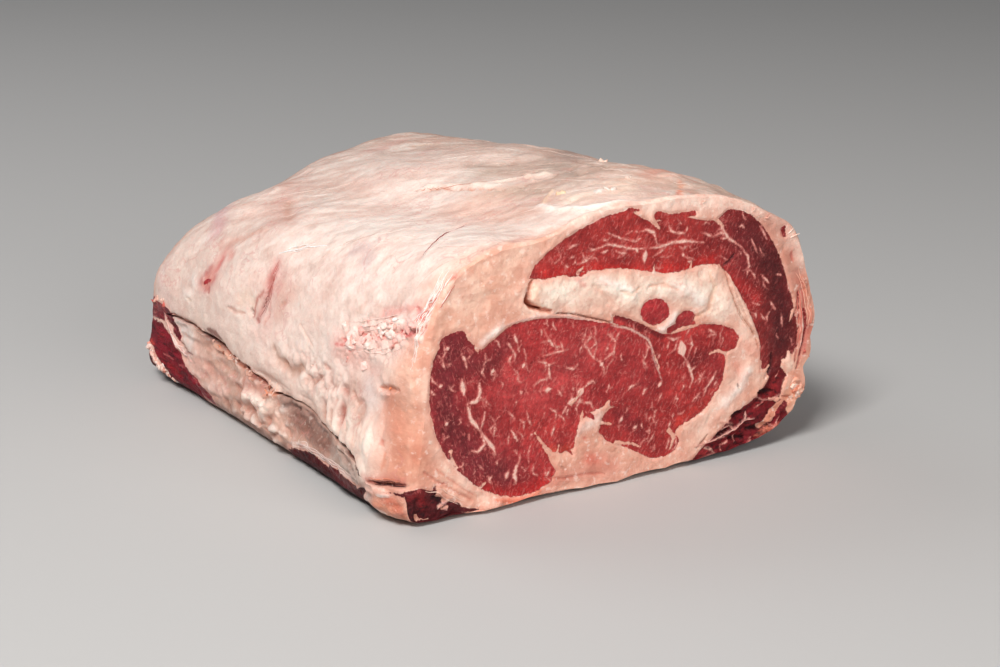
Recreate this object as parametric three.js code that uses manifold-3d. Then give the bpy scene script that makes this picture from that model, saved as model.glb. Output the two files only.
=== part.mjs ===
// Raw boneless beef rib roast, cap on, cut square across both ends.
// Millimetres. The roast rests on z = 0 with its length along Y. Its show face, a clean cut
// across the grain, looks along -Y. The chine side, where the ribs came off, looks along -X.
// The muscles run the whole length as separate solids through one body of fat.

import * as THREE from 'three';
import { mergeVertices } from 'three/addons/utils/BufferGeometryUtils.js';
import Module from 'manifold-3d';

const wasm = await Module();
wasm.setup();

// Driving dimensions of the whole roast.
const LENGTH = 232;
const FRONT = -LENGTH / 2;
const BACK = LENGTH / 2;

// The roast gets lower towards the far end, more on the chine side than on the cap side.
const CHINE_DROP = 0.31;
const CAP_DROP = 0.115;
const DROP_POWER = 1.25;
const CHINE_X = -84;
const CAP_X = 34;
const FAR_NARROWING = 0.05;

// Rounded rims of the two cut faces.
const FRONT_RIM = 1;
const UNDER_RIM = 0.3;
const CHINE_RIM = 7;
const BACK_RIM = 4;
const RIM_STEPS = 3;

// How finely the outside is laid out: points round a section, sections along the length.
const SKIN_POINTS = 96;
const SKIN_SECTIONS = 24;

// The muscles stand clear of the fat and of each other by this gap.
const GAP = 0.4;
const MUSCLE_SECTIONS = 5;
const OVERRUN = 4;

// Depth of the torn fat flap below the crevice on the chine side, and the crevice itself.
const FLAP_DEPTH = 2.6;
const CREVICE_DEPTH = 6.5;
const CREVICE_MOUTH = 2.6;
const CREVICE_RISE = 2.2;

// How far the foot of the chine side and the whole far end spread out to the left.
const FOOT_TOP = 30;
const FOOT_SPREAD = {
  y: [-116, -106, -92, -66, -20, 40, 90, 116],
  out: [0, 3.8, 4.8, 4.4, 2.6, 1.8, 1.4, 0.8],
};
const FAR_SPREAD = 1.8;

// Outlines on the cut face, as x and z of a few points that a closed curve passes through.
const SKIN_OUTLINE = [
  [-100, 15], [-98, 5], [-90, 0], [-74, -0.4], [-56, 0], [-30, 0], [0, 0], [24, 0], [46, 0],
  [62, 3.4], [78, 6.2], [88, 11], [96, 17.6], [98.4, 23], [94.4, 29], [96.8, 34.4], [100.2, 41],
  [101.4, 55], [97.8, 70], [91.2, 86], [88.2, 95.4], [78.6, 100.4], [66, 106.8], [54, 111.2],
  [37, 114.2], [8, 114.4], [-14, 113.3], [-24, 108.6], [-40, 105.3], [-58, 104], [-72, 99.6],
  [-82, 89], [-90, 73], [-95, 55], [-97.6, 36],
];

const EYE_OUTLINE = [
  [-72, 74], [-83, 70], [-87, 57], [-86, 41], [-79, 25], [-68, 13], [-55, 5.4], [-42, 3.6],
  [-29, 9], [-34, 19], [-22, 17.5], [-18, 30], [-6, 33.6], [8, 36], [20.4, 40.6], [18.6, 49],
  [14.4, 57.6], [4, 64.2], [-12, 69.6], [-34, 74.4], [-52, 73.6], [-65, 66.4],
];

const INNER_OUTLINE = [
  [-3, 70.4], [8, 66.6], [24, 58.6], [45, 59.6], [60, 53.4], [61, 48], [53.6, 45], [54, 37],
  [44, 23], [29.6, 17], [31.6, 9.6], [20, 6.4], [6, 13.4], [-9, 22.6], [-5, 31.6], [8, 34],
  [14, 44], [9, 58], [-3, 66],
];

const CAP_OUTLINE = [
  [-43.2, 91.4], [-35, 99.6], [-18, 108], [3, 112], [15, 106], [27, 107], [47, 102.4],
  [52, 106], [64, 103.4], [79, 86.6], [87.4, 67], [92.4, 48], [91, 39.4], [81, 37.4],
  [73.4, 33.4], [73.4, 43], [68, 57], [58, 73.6], [49, 84], [24, 83.8], [2, 89], [-20, 90.6],
];

const LOWER_OUTLINE = [
  [38, 1.6], [48, 9.4], [62, 19], [74, 25.6], [81, 34.6], [87, 32.6], [84, 24], [84.6, 18.4],
  [90, 12], [84, 2], [60, -6], [42, -4],
];

const ROUNDS = [
  { name: 'round_muscle_a', x: 17.6, z: 69, wide: 14.6, high: 11.2, turn: -0.3 },
  { name: 'round_muscle_b', x: 33, z: 63.6, wide: 10.4, high: 6.4, turn: 0.1 },
];

// Meat left along the foot of the chine side. Each height is how far up the side it shows.
const RIB_NEAR = {
  name: 'rib_meat_near',
  y: [-120, -92, -78, -68, -46, -26, -12],
  height: [16, 11.5, 5, 8, 11.6, 8, 2],
  depth: [40, 35, 27, 25, 25, 21, 13],
};
const RIB_FAR = {
  name: 'rib_meat_far',
  y: [50, 62, 76, 90, 102, 120],
  height: [3, 10.5, 18.5, 28, 33.5, 34.5],
  depth: [12, 15, 18, 20, 21, 21],
};
const RIB_CORNER_X = -109;
const RIB_CORNER_Z = -4;
const RIB_STEPS = 9;

// The crevice along the chine side, as y and z from the far end to the near corner.
const CREVICE_LINE = [
  [97, 34], [84, 35], [62, 33.6], [42, 33.2], [20, 29.4], [0, 26.6], [-22, 28],
  [-48, 25.2], [-72, 19.2], [-90, 12.6],
];

// Lumps of fat: centre on the side, how far they stand out and how wide they are.
const LUMPS = [
  { at: [-93, -84, 30], out: 3.2, spread: 9 },
  { at: [-93, -66, 32], out: 2.2, spread: 7 },
  { at: [-95, -99, 24], out: 2.6, spread: 9 },
  { at: [-92, -96, 54], out: 1.8, spread: 10 },
  { at: [-97, 20, 17], out: 2.4, spread: 9 },
  { at: [-97, -8, 13], out: 2, spread: 8 },
  { at: [-94, 46, 55], out: 2.4, spread: 20 },
  { at: [-90, 112, 50], out: 2.6, spread: 15 },
  { at: [-60, -92, 103], out: 1.6, spread: 16 },
  { at: [-46, 84, 84], out: 5, spread: 24 },
  { at: [-26, 40, 97], out: 3.4, spread: 34 },
  { at: [30, 0, 108], out: 4, spread: 40 },
  { at: [30, -70, 114], out: 4.6, spread: 30 },
  { at: [66, -84, 106], out: 2.2, spread: 22 },
  { at: [5, -98, 113], out: 1.4, spread: 18 },
];
const HOLLOWS = [
  { at: [-96, 10, 58], out: -1.8, spread: 9 },
  { at: [-92, 23, 50], out: -2, spread: 5 },
  { at: [-90, -40, 44], out: -1.6, spread: 14 },
  { at: [-20, -64, 107], out: -1.6, spread: 16 },
];

// Slow waves that keep the fat from looking turned on a lathe.
const WAVE_HEIGHT = 0.9;

// Eases from 0 at the first place to 1 at the second, whichever of the two is the larger.
function ease(from, to, value) {
  const part = THREE.MathUtils.clamp((value - from) / (to - from), 0, 1);
  return part * part * (3 - 2 * part);
}

// Reads a quantity given at a few places along Y, eased between them.
function along(places, values, y) {
  const last = places.length - 1;
  if (y <= places[0]) return values[0];
  if (y >= places[last]) return values[last];
  const next = places.findIndex((place) => place > y);
  const part = ease(places[next - 1], places[next], y);
  return THREE.MathUtils.lerp(values[next - 1], values[next], part);
}

// Moves a point of the cut-face outline to its place on the section at y.
function settle(x, z, y) {
  const run = THREE.MathUtils.clamp((y - FRONT) / LENGTH, 0, 1) ** DROP_POWER;
  const across = THREE.MathUtils.clamp((x - CHINE_X) / (CAP_X - CHINE_X), 0, 1);
  const drop = THREE.MathUtils.lerp(CHINE_DROP, CAP_DROP, across);
  const narrow = x > 0 ? 1 - FAR_NARROWING * run : 1;
  return new THREE.Vector3(x * narrow, y, z * (1 - drop * run));
}

// Even points along a closed curve through the outline, counter-clockwise seen from -Y.
function spread(outline, count) {
  const corners = outline.map(([x, z]) => new THREE.Vector3(x, 0, z));
  const curve = new THREE.CatmullRomCurve3(corners, true, 'centripetal');
  const points = curve.getSpacedPoints(count).slice(0, count);
  const flat = points.map((point) => new THREE.Vector2(point.x, point.z));
  return THREE.ShapeUtils.area(flat) < 0 ? flat.reverse() : flat;
}

// The outward direction at each point of a counter-clockwise ring.
function outwards(ring) {
  return ring.map((point, index) => {
    const before = ring[(index + ring.length - 1) % ring.length];
    const after = ring[(index + 1) % ring.length];
    return new THREE.Vector2(after.y - before.y, before.x - after.x).normalize();
  });
}

function grow(ring, distance) {
  const normals = outwards(ring);
  return ring.map((point, index) => point.clone().addScaledVector(normals[index], distance));
}

// A closed solid through rings of equal length, its two ends capped.
function loft(rings) {
  const count = rings[0].length;
  const positions = rings.flat().flatMap((point) => [point.x, point.y, point.z]);
  const faces = [];
  for (let ring = 0; ring + 1 < rings.length; ring += 1) {
    for (let index = 0; index < count; index += 1) {
      const next = (index + 1) % count;
      const a = ring * count + index;
      const b = ring * count + next;
      faces.push(a, a + count, b, b, a + count, b + count);
    }
  }
  const ends = [rings[0], rings[rings.length - 1]];
  ends.forEach((ring, end) => {
    const base = end * (rings.length - 1) * count;
    const flat = ring.map((point) => new THREE.Vector2(point.x, point.z));
    THREE.ShapeUtils.triangulateShape(flat, []).forEach(([a, b, c]) => {
      if (end === 0) faces.push(base + a, base + b, base + c);
      else faces.push(base + a, base + c, base + b);
    });
  });
  const geometry = new THREE.BufferGeometry();
  geometry.setAttribute('position', new THREE.Float32BufferAttribute(positions, 3));
  geometry.setIndex(faces);
  return geometry;
}

function toSolid(geometry) {
  const merged = mergeVertices(geometry, 1e-4);
  const vertProperties = new Float32Array(merged.attributes.position.array);
  const triVerts = new Uint32Array(merged.index.array);
  return new wasm.Manifold(new wasm.Mesh({ numProp: 3, vertProperties, triVerts }));
}

function toGeometry(solid) {
  const mesh = solid.getMesh();
  const geometry = new THREE.BufferGeometry();
  geometry.setAttribute('position', new THREE.Float32BufferAttribute(mesh.vertProperties, 3));
  geometry.setIndex(Array.from(mesh.triVerts));
  geometry.computeVertexNormals();
  return geometry;
}

function creviceHeight(y) {
  const line = [...CREVICE_LINE].reverse();
  return along(line.map((place) => place[0]), line.map((place) => place[1]), y);
}

// How far the fat stands out from the smooth body at a point.
function relief(point) {
  const { x, y, z } = point;
  let out = 0;
  [...LUMPS, ...HOLLOWS].forEach((lump) => {
    const away = point.distanceTo(new THREE.Vector3(...lump.at)) / lump.spread;
    out += lump.out * Math.exp(-away * away);
  });
  out += WAVE_HEIGHT * Math.sin(y / 19 + x / 27) * Math.sin(z / 17 - y / 31 + 1.3);
  const edge = creviceHeight(y);
  const onSide = ease(-86, -91, x) * ease(104, 88, y) * ease(-104, -84, y);
  out -= FLAP_DEPTH * onSide * ease(edge + 1.5, edge - 3, z);
  return out * ease(FRONT, FRONT + 14, y) * ease(0.5, 9, z);
}

// How far the chine side spreads to the left of the cut-face outline.
function spreadLeft({ x, y, z }) {
  const foot = along(FOOT_SPREAD.y, FOOT_SPREAD.out, y);
  const far = FAR_SPREAD * ease(10, BACK, y);
  const low = foot * ease(FOOT_TOP, 4, z) + far * ease(2, 12, z);
  return low * ease(-66, -92, x);
}

// Everything inside the outer surface of the roast, meat and fat together.
function makeWhole() {
  const base = spread(SKIN_OUTLINE, SKIN_POINTS);
  const normals = outwards(base);
  const rims = base.map((point) => {
    const upper = THREE.MathUtils.lerp(FRONT_RIM, CHINE_RIM, ease(-84, -97, point.x));
    return THREE.MathUtils.lerp(UNDER_RIM, upper, ease(0, 9, point.y));
  });
  const ring = (stationOf, insetOf) => base.map((point, index) => {
    const inset = insetOf(rims[index]);
    const y = stationOf(rims[index]);
    const normal = normals[index];
    const spot = settle(point.x, point.y, y);
    const out = relief(spot) - inset;
    const z = Math.max(0, spot.z + normal.y * out);
    return new THREE.Vector3(spot.x + normal.x * out - spreadLeft(spot), y, z);
  });
  const rings = [];
  for (let step = 0; step < RIM_STEPS; step += 1) {
    const angle = (step / RIM_STEPS) * Math.PI / 2;
    rings.push(ring(
      (rim) => FRONT + rim * (1 - Math.cos(angle)),
      (rim) => rim * (1 - Math.sin(angle)),
    ));
  }
  for (let step = 0; step <= SKIN_SECTIONS; step += 1) {
    const part = step / SKIN_SECTIONS;
    rings.push(ring(
      (rim) => THREE.MathUtils.lerp(FRONT + rim, BACK - BACK_RIM, part),
      () => 0,
    ));
  }
  for (let step = RIM_STEPS - 1; step >= 0; step -= 1) {
    const angle = (step / RIM_STEPS) * Math.PI / 2;
    rings.push(ring(
      () => BACK - BACK_RIM * (1 - Math.cos(angle)),
      () => BACK_RIM * (1 - Math.sin(angle)),
    ));
  }
  return toSolid(loft(rings));
}

// The crevice is a thin wedge that runs along the chine side and rises as it goes in.
function makeCrevice() {
  const corners = CREVICE_LINE.map(([y, z]) => new THREE.Vector3(0, y, z));
  const path = new THREE.CatmullRomCurve3(corners).getSpacedPoints(30).reverse();
  const mouthX = -104;
  const rings = path.map((point, index) => {
    const ends = Math.sin((index / (path.length - 1)) * Math.PI) ** 0.5;
    const surface = -98 + (point.z > 30 ? 1.2 : 0);
    const tip = surface + 1.5 + CREVICE_DEPTH * ends;
    const half = CREVICE_MOUTH * (0.35 + 0.65 * ends);
    return [
      new THREE.Vector3(mouthX, point.y, point.z - half - 1),
      new THREE.Vector3(tip, point.y, point.z + CREVICE_RISE),
      new THREE.Vector3(mouthX, point.y, point.z + half - 1),
    ];
  });
  return toSolid(loft(rings));
}

// A muscle as a prism that follows the roast's taper, a little longer than the roast.
function makeMuscle(ring) {
  const rings = [];
  for (let step = 0; step < MUSCLE_SECTIONS; step += 1) {
    const part = step / (MUSCLE_SECTIONS - 1);
    const y = THREE.MathUtils.lerp(FRONT - OVERRUN, BACK + OVERRUN, part);
    rings.push(ring.map((point) => settle(point.x, point.y, y)));
  }
  return toSolid(loft(rings));
}

// A strip of meat in the lower chine corner, a quarter round in section.
function makeRibStrip(strip, extra) {
  const first = strip.y[0];
  const last = strip.y[strip.y.length - 1];
  const stations = Math.round((last - first) / 7);
  const rings = [];
  for (let step = 0; step <= stations; step += 1) {
    const y = THREE.MathUtils.lerp(first - extra, last + extra, step / stations);
    const high = along(strip.y, strip.height, y) - RIB_CORNER_Z + extra;
    const deep = along(strip.y, strip.depth, y) + extra;
    const ring = [new THREE.Vector3(RIB_CORNER_X, y, RIB_CORNER_Z)];
    for (let part = 0; part <= RIB_STEPS; part += 1) {
      const angle = (part / RIB_STEPS) * Math.PI / 2;
      const x = RIB_CORNER_X + deep * Math.cos(angle) ** 0.8;
      const z = RIB_CORNER_Z + high * Math.sin(angle) ** 0.8;
      ring.push(new THREE.Vector3(x, y, z));
    }
    rings.push(ring);
  }
  return toSolid(loft(rings));
}

function roundOutline({ x, z, wide, high, turn }) {
  const points = [];
  const sides = 14;
  for (let side = 0; side < sides; side += 1) {
    const angle = (side / sides) * Math.PI * 2;
    const spot = new THREE.Vector2(Math.cos(angle) * wide / 2, Math.sin(angle) * high / 2);
    points.push(spot.rotateAround(new THREE.Vector2(), turn).add(new THREE.Vector2(x, z)));
  }
  return points;
}

function makePiece(name, solid, color, roughness) {
  const material = new THREE.MeshStandardMaterial({ color, roughness, metalness: 0 });
  const mesh = new THREE.Mesh(toGeometry(solid), material);
  mesh.name = name;
  return mesh;
}

// Each kind of meat: its colour and the solid it fills when grown by the given gap.
function muscle(name, ring, color) {
  return { name, color, fill: (gap) => makeMuscle(grow(ring, gap)) };
}

function ribStrip(strip, color) {
  return { name: strip.name, color, fill: (gap) => makeRibStrip(strip, gap) };
}

const MEATS = [
  muscle('eye_muscle', spread(EYE_OUTLINE, 54), 0x8f2f36),
  muscle('inner_muscle', spread(INNER_OUTLINE, 46), 0x9a3a3f),
  muscle('cap_muscle', spread(CAP_OUTLINE, 58), 0x87282f),
  muscle('lower_muscle', spread(LOWER_OUTLINE, 28), 0x6d1f27),
  ...ROUNDS.map((round) => muscle(round.name, roundOutline(round), 0xb0343c)),
  ribStrip(RIB_NEAR, 0x571a20),
  ribStrip(RIB_FAR, 0x6a1c24),
];

const roast = new THREE.Group();
const whole = makeWhole();
let taken = makeCrevice();

MEATS.forEach(({ name, color, fill }) => {
  const meat = whole.intersect(fill(0)).subtract(taken);
  roast.add(makePiece(name, meat, color, 0.5));
  taken = taken.add(fill(GAP));
});

roast.add(makePiece('fat_body', whole.subtract(taken), 0xe6cdc0, 0.5));

export default roast;
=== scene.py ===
# %% [markdown]
# # A raw beef rib roast
# The roast is a boneless rib of beef with its fat cap on, cut square across both ends. It is
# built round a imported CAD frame, which fixes every size: one body of fat with the muscles
# running through it. Here each of those plain solids gets its real surface.

# %% Load the frame
import math
from collections import namedtuple

import bmesh
import bpy
import numpy as np
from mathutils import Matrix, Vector, noise
from mathutils.bvhtree import BVHTree
from mathutils.geometry import delaunay_2d_cdt


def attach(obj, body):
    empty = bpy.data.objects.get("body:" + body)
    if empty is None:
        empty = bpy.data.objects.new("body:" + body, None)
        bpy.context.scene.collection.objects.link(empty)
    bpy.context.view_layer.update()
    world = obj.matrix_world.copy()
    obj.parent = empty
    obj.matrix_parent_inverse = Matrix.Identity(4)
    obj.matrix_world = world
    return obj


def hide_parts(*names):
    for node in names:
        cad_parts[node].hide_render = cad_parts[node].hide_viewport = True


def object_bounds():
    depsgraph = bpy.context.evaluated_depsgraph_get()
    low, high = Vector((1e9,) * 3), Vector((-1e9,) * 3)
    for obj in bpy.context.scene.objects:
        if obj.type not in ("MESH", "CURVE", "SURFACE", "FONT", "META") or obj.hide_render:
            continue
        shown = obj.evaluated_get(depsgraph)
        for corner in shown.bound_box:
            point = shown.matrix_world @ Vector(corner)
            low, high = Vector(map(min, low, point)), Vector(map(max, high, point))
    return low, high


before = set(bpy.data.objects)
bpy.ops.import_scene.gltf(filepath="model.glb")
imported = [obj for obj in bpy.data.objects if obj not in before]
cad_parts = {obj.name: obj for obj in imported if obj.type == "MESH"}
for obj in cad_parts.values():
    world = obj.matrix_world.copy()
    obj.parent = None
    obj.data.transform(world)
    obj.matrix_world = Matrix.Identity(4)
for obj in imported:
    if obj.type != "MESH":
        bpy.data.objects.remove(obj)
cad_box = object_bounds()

MM = 0.001
LOW = np.array(cad_box[0]) / MM
HIGH = np.array(cad_box[1]) / MM
FRONT, BACK = LOW[1], HIGH[1]
print("the roast is", np.round(HIGH - LOW, 1), "mm")

# %% [markdown]
# ## Camera
# A long lens looks down on the cut face from the chine side. A long lens keeps the far end
# from shrinking too much, as food pictures do. The small shift only centres the roast.

# %% Set up the camera
LENS, SENSOR = 80.0, 36.0
CAMERA_PLACE = (-0.4945, -0.7983, 0.3131)
CAMERA_AZIMUTH, CAMERA_ELEVATION = -32.4, 16.4
CAMERA_SHIFT = (0.01315, -0.00744)


def put(thing):
    """Puts an object in the scene."""
    bpy.context.scene.collection.objects.link(thing)


def add_camera():
    data = bpy.data.cameras.new("camera")
    data.lens, data.sensor_width = LENS, SENSOR
    data.shift_x, data.shift_y = CAMERA_SHIFT
    camera = bpy.data.objects.new("camera", data)
    put(camera)
    azimuth, elevation = math.radians(CAMERA_AZIMUTH), math.radians(CAMERA_ELEVATION)
    back = Vector((math.sin(azimuth) * math.cos(elevation),
                   -math.cos(azimuth) * math.cos(elevation),
                   math.sin(elevation)))
    camera.location = CAMERA_PLACE
    camera.rotation_mode = "QUATERNION"
    camera.rotation_quaternion = (-back).to_track_quat("-Z", "Y")
    bpy.context.scene.camera = camera
    return camera


camera = add_camera()
print("camera", [round(value, 3) for value in camera.location])

# %% [markdown]
# ## Floor and light
# A pale floor and broad soft lamps show moist meat without harsh glints. The main lamp hangs
# high in front of the chine side, so the shoulder between the fat cap and that side is the
# brightest place, and the far end and the cap edge fall off. Two weaker lamps and the room's
# own light keep the shadows open.

# %% Floor
FLOOR_GREY, FLOOR_ROUGHNESS = (0.5, 0.49, 0.48), 0.7
FLOOR_WIDTH, FLOOR_DROP = 8.0, 0.0004


def add_floor():
    mesh = bpy.data.meshes.new("floor")
    half = FLOOR_WIDTH / 2
    corners = [(-half, -half, -FLOOR_DROP), (half, -half, -FLOOR_DROP),
               (half, half, -FLOOR_DROP), (-half, half, -FLOOR_DROP)]
    mesh.from_pydata(corners, [], [(0, 1, 2, 3)])
    floor = bpy.data.objects.new("floor", mesh)
    put(floor)
    material = bpy.data.materials.new("floor_paint")
    material.use_nodes = True
    shader = material.node_tree.nodes["Principled BSDF"]
    shader.inputs["Base Color"].default_value = (*FLOOR_GREY, 1)
    shader.inputs["Roughness"].default_value = FLOOR_ROUGHNESS
    mesh.materials.append(material)
    return floor


floor = add_floor()
print(floor.name, FLOOR_WIDTH, "m wide")

# %% Lamps and the light of the room
AIM = (0, 0, 0.05)
ROOM_COLOUR, ROOM_STRENGTH = (0.95, 0.97, 1.0, 1), 0.13
# name, place, width and height, power, colour
LAMPS = [
    ("key", (-0.95, -0.75, 1.35), (0.6, 0.5), 31, (1, 0.985, 0.97)),
    ("front", (0.2, -1.7, 0.8), (1.4, 0.9), 11, (1, 0.98, 0.96)),
    ("back", (-0.7, 1.2, 1.2), (1.2, 0.8), 7, (0.97, 0.98, 1)),
]


def add_lamp(name, place, size, power, colour):
    data = bpy.data.lights.new(name, "AREA")
    data.shape = "RECTANGLE"
    data.size, data.size_y = size
    data.energy = power
    data.color = colour
    lamp = bpy.data.objects.new(name, data)
    lamp.location = place
    lamp.rotation_mode = "QUATERNION"
    lamp.rotation_quaternion = (Vector(AIM) - Vector(place)).to_track_quat("-Z", "Y")
    put(lamp)
    return lamp


def add_room_light():
    world = bpy.data.worlds.new("studio")
    world.use_nodes = True
    background = world.node_tree.nodes["Background"]
    background.inputs["Color"].default_value = ROOM_COLOUR
    background.inputs["Strength"].default_value = ROOM_STRENGTH
    bpy.context.scene.world = world


for lamp in LAMPS:
    add_lamp(*lamp)
add_room_light()
bpy.context.scene.view_settings.view_transform = "Standard"
print(len(LAMPS), "lamps, the brightest of", max(lamp[3] for lamp in LAMPS), "watts")

# %% [markdown]
# ## Feeling the shape of the roast
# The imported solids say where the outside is. Rays are cast inwards from all round at close
# stations along the length, and where they land is the outer skin. The landing points are
# then averaged with their neighbours, which rubs out the flat facets of the solids.

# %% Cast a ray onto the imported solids
AXIS_HEIGHT = 45.0
RAY_START = 400


def solid_tree(names):
    points, faces = [], []
    for name in names:
        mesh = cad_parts[name].data
        start = len(points)
        points += [vertex.co / MM for vertex in mesh.vertices]
        faces += [[start + index for index in face.vertices] for face in mesh.polygons]
    return BVHTree.FromPolygons(points, faces)


def ray_landing(tree, angle, y):
    out = Vector((math.cos(angle), 0, math.sin(angle)))
    centre = Vector((0, y, AXIS_HEIGHT))
    place = tree.ray_cast(centre + out * RAY_START, -out)[0]
    return np.array(place if place is not None else centre)


solids = solid_tree(sorted(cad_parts))
print("the solids are", round(float(ray_landing(solids, math.pi / 2, 0)[2]), 1), "mm high inside")

# %% Choose the angles and the stations of the rays
SIDE_STEP, TOP_STEP, CAP_STEP, UNDER_STEP = 0.72, 1.6, 2.2, 7.0
SIDE_X, CAP_SIDE_X, UNDERSIDE = -80, 84, 0.5
TRIAL_COUNT, TRIAL_STATION = 1440, -40.0
LENGTH_STEP, FRONT_SHARE = 1.14, 0.78
RIM_STATIONS = (0.03, 0.25, 0.6, 1.1, 1.8, 2.7, 3.8, 5.2)
RIM_SPAN, BOTH_RIMS_SPAN = 6.6, 11.8


def ray_angles(tree):
    """Angles of the rays, closer together where the surface is seen from nearer."""
    fine = -math.pi / 2 + np.arange(TRIAL_COUNT + 1) / TRIAL_COUNT * 2 * math.pi
    ring = np.array([ray_landing(tree, angle, TRIAL_STATION) for angle in fine])
    middle = (ring[1:] + ring[:-1]) / 2
    above = middle[:, 2] >= UNDERSIDE
    step = np.where(above, TOP_STEP, UNDER_STEP)
    step = np.where(above & (middle[:, 0] < SIDE_X), SIDE_STEP, step)
    step = np.where(above & (middle[:, 0] > CAP_SIDE_X), CAP_STEP, step)
    length = np.linalg.norm(ring[1:] - ring[:-1], axis=1)
    total = np.concatenate([[0], np.cumsum(length / step)])
    wanted = np.arange(int(total[-1])) / int(total[-1]) * total[-1]
    return np.interp(wanted, total, fine)


def stations():
    """Places along the length, closer together near the cut face."""
    span = BACK - FRONT - BOTH_RIMS_SPAN
    share = np.linspace(0, 1, int(span / LENGTH_STEP))
    inner = FRONT + RIM_SPAN + span * share * (FRONT_SHARE + (1 - FRONT_SHARE) * share)
    front = [FRONT + step for step in RIM_STATIONS]
    back = [BACK - step for step in reversed(RIM_STATIONS[:6:2])]
    return np.array([*front, *inner, *back])


print(len(ray_angles(solids)), "angles at each of", len(stations()), "stations")

# %% Average the skin along a row
BLUR_REACH = 10


def blur(points, places, width, closed):
    """Averages rows of points with their neighbours, by distance along the row."""
    total = np.zeros_like(points)
    weight = np.zeros(len(points))
    round_trip = places[-1] - places[0] + (places[1] - places[0])
    for offset in range(-BLUR_REACH, BLUR_REACH + 1):
        index = np.arange(len(points)) + offset
        if closed:
            away = places[index % len(points)] - places
            away = (away + round_trip / 2) % round_trip - round_trip / 2
            index = index % len(points)
        else:
            index = np.clip(index, 0, len(points) - 1)
            away = places[index] - places
        share = np.exp(-0.5 * (away / width) ** 2)
        total += points[index] * share[:, None, None]
        weight += share
    return total / weight[:, None, None]


step = np.repeat([0.0, 1.0], 5)[:, None, None]
print("a step of 1 becomes", blur(step, np.arange(10.0), 1.5, closed=False).ravel().round(2))

# %% Bridge the tear and rub out the facets
FACET_BLUR, TEAR_SPAN = 3.2, 5
KEPT_RIM, RIM_BLEND = 1, 8


def close_tear(grid):
    """Bridges the narrow tear, which is cut again later: widen the rays, then narrow them."""
    centre = np.array((0, 0, AXIS_HEIGHT))
    away = (grid - centre) * np.array((1, 0, 1))
    reach = np.linalg.norm(away, axis=2)
    shifts = range(-TEAR_SPAN, TEAR_SPAN + 1)
    widest = np.max([np.roll(reach, shift, axis=0) for shift in shifts], axis=0)
    bridged = np.min([np.roll(widest, shift, axis=0) for shift in shifts], axis=0)
    return grid + away * (bridged / reach - 1)[:, :, None]


def feel_skin(tree):
    angles, rows = ray_angles(tree), stations()
    grid = np.array([[ray_landing(tree, angle, y) for y in rows] for angle in angles])
    grid = close_tear(grid)
    mean = grid.mean(axis=1)
    around = np.concatenate([[0], np.cumsum(np.linalg.norm(np.diff(mean, axis=0), axis=1))])
    grid = blur(grid, around, FACET_BLUR, closed=True)
    smooth = blur(grid.transpose(1, 0, 2), rows, FACET_BLUR, closed=False).transpose(1, 0, 2)
    away = np.minimum(rows - FRONT, BACK - rows)
    share = np.clip((away - KEPT_RIM) / RIM_BLEND, 0, 1)[None, :, None]
    grid = grid * (1 - share) + smooth * share
    grid[:, :, 1] = rows
    grid[:, :, 2] = np.maximum(grid[:, :, 2], 0)
    return grid


skin = feel_skin(solids)
print("skin grid", skin.shape, "from", np.round(skin.min((0, 1)), 1), np.round(skin.max((0, 1)), 1))

# %% [markdown]
# ## Outlines of the muscles
# The same muscles run from end to end, so the outlines on the front face serve for the whole
# length. Where a muscle comes out at the skin its outline is pushed a little past it, so that
# a cutter made from it cuts clean through.

# %% Read the outlines off the front face
MEATS = ("eye_muscle", "inner_muscle", "cap_muscle", "lower_muscle", "round_muscle_a",
         "round_muscle_b")
ON_FRONT, WELD = 0.02, 1e-6


def front_loop(name):
    """The ordered outline of a node's front end, as x, z places in millimetres."""
    shape = bmesh.new()
    shape.from_mesh(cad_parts[name].data)
    bmesh.ops.remove_doubles(shape, verts=shape.verts, dist=WELD)
    flat = {face for face in shape.faces
            if all(abs(vertex.co.y / MM - FRONT) < ON_FRONT for vertex in face.verts)}
    rim = [edge for edge in shape.edges if sum(face in flat for face in edge.link_faces) == 1]
    following = {}
    for edge in rim:
        for vertex in edge.verts:
            following.setdefault(vertex, []).append(edge.other_vert(vertex))
    start = last = rim[0].verts[0]
    here = following[start][0]
    loop = [start]
    while here is not start:
        loop.append(here)
        last, here = here, next(v for v in following[here] if v is not last)
    places = np.array([(vertex.co.x / MM, vertex.co.z / MM) for vertex in loop])
    shape.free()
    return places


loops = {name: front_loop(name) for name in MEATS}
print("read", len(loops), "outlines, of", min(map(len, loops.values())), "places or more")

# %% Measure from an outline
FAR, TINY = 1e9, 1e-12


def ring_edges(ring):
    return np.stack([ring, np.roll(ring, -1, axis=0)], axis=1)


def distance_to_edges(points, edges):
    """Distance of each flat point to the nearest of the edges."""
    best = np.full(len(points), FAR)
    for start, end in edges:
        step = end - start
        part = ((points - start) @ step) / max(step @ step, TINY)
        near = start + np.clip(part, 0, 1)[:, None] * step
        best = np.minimum(best, ((points - near) ** 2).sum(axis=1))
    return np.sqrt(best)


def inside_edges(points, edges):
    """Whether each flat point is inside the closed outline, by counting crossings."""
    odd = np.zeros(len(points), bool)
    for (x1, z1), (x2, z2) in edges:
        if z1 == z2:
            continue
        crosses = (points[:, 1] < z1) != (points[:, 1] < z2)
        where = x1 + (points[:, 1] - z1) / (z2 - z1) * (x2 - x1)
        odd ^= crosses & (points[:, 0] < where)
    return odd


front_ring = skin[:, 0][:, [0, 2]]
print("the middle of the face is inside:", inside_edges(np.array([[0, AXIS_HEIGHT]]),
                                                       ring_edges(front_ring))[0])

# %% Push an outline past the skin
SKIN_MARGIN = 1.2
OUTREACH = 11.0


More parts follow.
